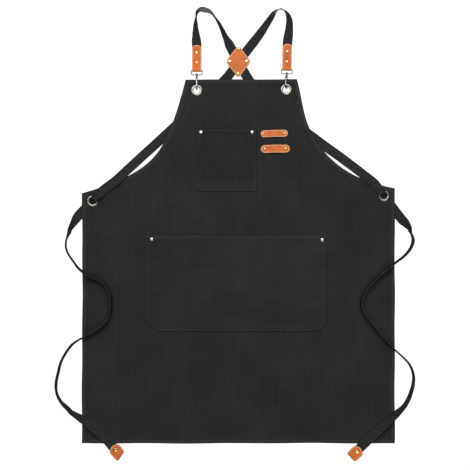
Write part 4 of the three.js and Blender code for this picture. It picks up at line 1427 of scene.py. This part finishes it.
class APRON_OT_cross_patch(bpy.types.Operator):
    """Rivet a leather diamond over and under the crossing of the straps"""

    bl_idname = "apron.cross_patch"
    bl_label = "Crossing patch"

    def execute(self, context):
        leather = sizes_in_mm(context)["leather"]
        for name, height in (("cross_patch_back", PATCH_BACK_LOW), ("cross_patch_front", PATCH_FRONT_LOW)):
            points, faces, edge = leather_leaf([patch_outline()], leather, STEP["patch"], level(height))
            add_leather(context, name, points + np.array([PATCH["x"], PATCH["y"], 0]), faces, edge)
        for number, (x, y, finish) in enumerate(PATCH_RIVETS, start=1):
            spot = (PATCH["x"] + x, PATCH["y"] + y)
            add_rivet(context, "patch", number, spot, PATCH_BACK_LOW, PATCH_FRONT_LOW + leather, finish)
        return {"FINISHED"}


def through_fold(fold, leather, middle):
    """Heights of both faces of folded leather whose middle plane is at a height."""
    stack = fold["inner"] + leather
    return middle - stack, middle + stack


def folded_leather(fold, leather):
    """Leather folded in two round s = 0, about its own middle plane; both leaves end in an arch."""
    radius = fold["inner"] + leather / 2
    bend = math.pi * radius / 2
    leaf = fold["length"] - (fold["inner"] + leather)
    total = leaf + bend
    half, arch, step = fold["width"] / 2, fold["arch"], STEP["fold_edge"]
    sides = [
        straight((half, -total + arch), (half, total - arch), step),
        arc((0, total - arch), half, arch, 0, 180, 24),
        straight((-half, total - arch), (-half, -total + arch), step),
        arc((0, -total + arch), half, arch, 180, 360, 24),
    ]

    def place(x, y, height):
        around = np.clip(y / bend, -1, 1) * math.pi / 2
        beyond = np.sign(y) * np.maximum(np.abs(y) - bend, 0)
        reach = radius + height
        s = fold["inner"] + leather - reach * np.cos(around) + np.abs(beyond)
        n = reach * np.sin(around)
        return np.stack([x, s, n], axis=1)

    return leather_leaf(sides, leather, STEP["fold"], level(-leather / 2), place)


class APRON_OT_fastenings(bpy.types.Operator):
    """Hang each shoulder strap on its ring by a leather tab, a loop and a snap hook"""

    bl_idname = "apron.fastenings"
    bl_label = "Snap hooks and tabs"

    def execute(self, context):
        leather = sizes_in_mm(context)["leather"]
        rivet = 0
        for side, (ring, turn, roll, slack) in FASTENINGS.items():
            x, y = RINGS[ring][:2]
            place = (turn, x, y - slack, NECK_HEIGHT)
            self.add_tab(context, side, place, leather)
            self.add_loop(context, side, place)
            self.add_hook(context, side, roll, place)
            self.add_gate(context, side, roll, place)
            for along in TAB["rivets"]:
                rivet += 1
                spot = turned([(0, TAB["from"] + along, 0)], *place)[0]
                low, high = through_fold(TAB, leather, NECK_HEIGHT)
                add_rivet(context, "tab", rivet, spot, low, high, "worn_rivet")
        return {"FINISHED"}

    def add_tab(self, context, side, place, leather):
        points, faces, edge = folded_leather(TAB, leather)
        placed = turned(points + np.array([0, TAB["from"], 0]), *place)
        add_leather(context, f"strap_tab_{side}", placed, faces, edge)

    def add_loop(self, context, side, place):
        """A round-cornered wire loop with a sleeve for the swivel."""
        half, low, high, bar, corner = 11.75, 36.35, 47.25, 1.15, 2.6
        middles = [
            (half - corner, low + corner, -90), (half - corner, high - corner, 0),
            (-half + corner, high - corner, 90), (-half + corner, low + corner, 180),
        ]
        outline = np.concatenate([arc((x, y), corner, corner, a, a + 90, 8) for x, y, a in middles])
        path = np.concatenate([outline, np.zeros((len(outline), 1))], axis=1)
        sleeve_profile = [
            (1.6, 34.4), (2.5, 34.4), (2.9, 34.8), (2.9, 35.6), (2.6, 36.1), (2.9, 36.6), (2.9, 37.4),
            (2.5, 37.8), (1.6, 37.8),
        ]
        sleeve = along_strap(lathe(sleeve_profile, SIDES["swivel"]))
        add_cast(context, f"snap_loop_{side}", [swept(path, bar, SIDES["loop"]), sleeve], 0, place)

    def add_hook(self, context, side, roll, place):
        """Spine, bend and arm in one plate with soft edges, the swivel's neck and head, and the pin."""
        plate = soft_plate([hook_outline()], 1.7)
        neck_profile = [
            (0, 31), (1.3, 31), (1.3, 32), (2.3, 32.3), (2.3, 33), (1.3, 33.4), (1.3, 38.2), (2.2, 38.3),
            (2.2, 39), (1.5, 39.4), (0, 39.5),
        ]
        neck = along_strap(lathe(neck_profile, SIDES["swivel"]))
        pin_profile = [
            (0, -2.3), (0.6, -2.3), (0.85, -2.1), (0.8, -1.9),
            (0.8, 1.9), (0.85, 2.1), (0.6, 2.3), (0, 2.3),
        ]
        pin = across_strap(lathe(pin_profile, SIDES["pin"]), PIN_ALONG, PIN_UP)
        add_cast(context, f"snap_hook_{side}", [plate, neck, pin], roll, place)

    def add_gate(self, context, side, roll, place):
        """A sprung lever forked over the pin."""
        lever = soft_plate(gate_sides(GATE["tip"], GATE["lever_to"]), GATE["lever"])
        points, faces = soft_plate(gate_sides(GATE["cheek_from"]), GATE["cheek"])
        cheeks = [(points + np.array([sign * GATE["apart"], 0, 0]), faces) for sign in (-1, 1)]
        add_cast(context, f"snap_gate_{side}", [lever, *cheeks], roll, place, body=f"gate_{side}")


def along_strap(shape):
    """A turned shape with its axis along the strap."""
    points, faces = shape
    return np.stack([points[:, 1], points[:, 2], points[:, 0]], axis=1), faces


def across_strap(shape, s, n):
    """A turned shape with its axis across the strap, at a place along it."""
    points, faces = shape
    return np.stack([points[:, 2], points[:, 0] + s, points[:, 1] + n], axis=1), faces


def rolled(points, roll, place):
    """Points rolled about the strap's axis, then turned and put in place."""
    angle = math.radians(roll)
    c, s = math.cos(angle), math.sin(angle)
    x = points[:, 0] * c + points[:, 2] * s
    z = points[:, 2] * c - points[:, 0] * s
    return turned(np.stack([x, points[:, 1], z], axis=1), *place)


def soft_plate(sides, half):
    """A metal plate drawn along the strap and up, with rounded edges, centred across the strap."""
    def place(s, n, w):
        return np.stack([w, s, n], axis=1)

    drop = 0.5 * min(1.0, half)
    shape, _ = rounded_plate(sides, METAL_RIM, drop, 2 * half, STEP["metal"], level(-half), place)
    return shape


def hook_outline():
    """The hook from the side, along the strap and up: spine, bend, short arm and shoulder."""
    spine_in, spine_out, arm_in, arm_out, bend, tip = 4.7, 7.7, -4.6, -7.0, 10.65, 13.2
    outer = ((spine_out + arm_out) / 2, (spine_out - arm_out) / 2)
    inner = ((spine_in + arm_in) / 2, (spine_in - arm_in) / 2)
    shoulder = [(25, spine_in), (27.4, 3), (27.4, -3.4), (28.4, -5.2), (30.8, -5.2), (31.8, -3.9),
                (32.2, -1.4), (32.2, 1.6), (30, 5.6), (27, spine_out)]
    outline = np.concatenate([
        arc((bend, outer[0]), outer[1], outer[1], 90, 270, 30),
        [(tip - 0.6, arm_out), (tip, arm_out + 0.6), (tip, arm_in - 0.3), (tip - 0.4, arm_in)],
        arc((bend, inner[0]), inner[1], inner[1], 270, 90, 24),
        shoulder,
        [(bend, spine_out)],
    ])
    return respaced(outline, STEP["hook_edge"])


def gate_sides(low, high=None):
    """The gate's lever between two places along it; with no upper place it ends round the pin."""
    step, head, tip_out, tip_in = STEP["gate_edge"], 2.1, -6.9, -4.7
    root = PIN_ALONG - head * 0.8
    root_out, root_in = PIN_UP - head * 0.5, PIN_UP + head * 0.55

    def outer(s):
        return (s, tip_out + (root_out - tip_out) * (s - GATE["tip"]) / (root - GATE["tip"]))

    def inner(s):
        return (s, tip_in + (root_in - tip_in) * (s - GATE["tip"]) / (root - GATE["tip"]))

    if high is not None:
        return closed_sides([outer(low), outer(high), inner(high), inner(low)], step)
    round_end = arc((PIN_ALONG, PIN_UP), head, head, -150, 145, 24)
    return [
        straight(outer(low), round_end[0], step),
        round_end,
        straight(round_end[-1], inner(low), step),
        straight(inner(low), outer(low), step),
    ]


class APRON_OT_tie_tips(bpy.types.Operator):
    """Fold leather over the free ends of both ties and rivet it"""

    bl_idname = "apron.tie_tips"
    bl_label = "Tie tips"

    def execute(self, context):
        leather = sizes_in_mm(context)["leather"]
        for number, (side, (x, y, turn, skew)) in enumerate(TIPS.items(), start=1):
            points, faces, edge = folded_leather(TIP, leather)
            toward_fold = 1 - np.clip(points[:, 1] / TIP["length"], 0, 1)
            points[:, 0] *= 1 - TIP_NARROWING * smoothstep(toward_fold, TIP_NARROW_FROM, 1)
            points[:, 1] += skew * points[:, 0] * toward_fold
            add_leather(context, f"tie_tip_{side}", turned(points, turn, x, y, TIP["z"]), faces, edge)
            spot = turned([(0, TIP["rivet"], 0)], turn, x, y)[0]
            add_rivet(context, "tip", number, spot, *through_fold(TIP, leather, TIP["z"]))
        return {"FINISHED"}


class APRON_PT_sidebar(bpy.types.Panel):
    """Sizes, colours and the steps of making the apron"""

    bl_idname = "APRON_PT_sidebar"
    bl_label = "Canvas work apron"
    bl_space_type = "VIEW_3D"
    bl_region_type = "UI"
    bl_category = "Apron"

    def draw(self, context):
        for group in (context.scene.apron_sizes, context.scene.apron_colours):
            column = self.layout.column()
            for name in type(group).__annotations__:
                column.prop(group, name)
        for step in STEPS:
            self.layout.operator(step.bl_idname)


STEPS = (
    APRON_OT_stage,
    APRON_OT_straps,
    APRON_OT_canvas,
    APRON_OT_pockets,
    APRON_OT_tool_loops,
    APRON_OT_grommets,
    APRON_OT_cross_patch,
    APRON_OT_fastenings,
    APRON_OT_tie_tips,
)
CLASSES = (ApronSizes, ApronColours, *STEPS, APRON_PT_sidebar)


def register():
    for each in CLASSES:
        bpy.utils.register_class(each)
    bpy.types.Scene.apron_sizes = PointerProperty(type=ApronSizes)
    bpy.types.Scene.apron_colours = PointerProperty(type=ApronColours)


def unregister():
    del bpy.types.Scene.apron_colours
    del bpy.types.Scene.apron_sizes
    for each in reversed(CLASSES):
        bpy.utils.unregister_class(each)


def main():
    register()
    bpy.ops.apron.stage()
    bpy.ops.apron.straps()
    bpy.ops.apron.canvas()
    bpy.ops.apron.pockets()
    bpy.ops.apron.tool_loops()
    bpy.ops.apron.grommets()
    bpy.ops.apron.cross_patch()
    bpy.ops.apron.fastenings()
    bpy.ops.apron.tie_tips()


if __name__ == "__main__":
    main()
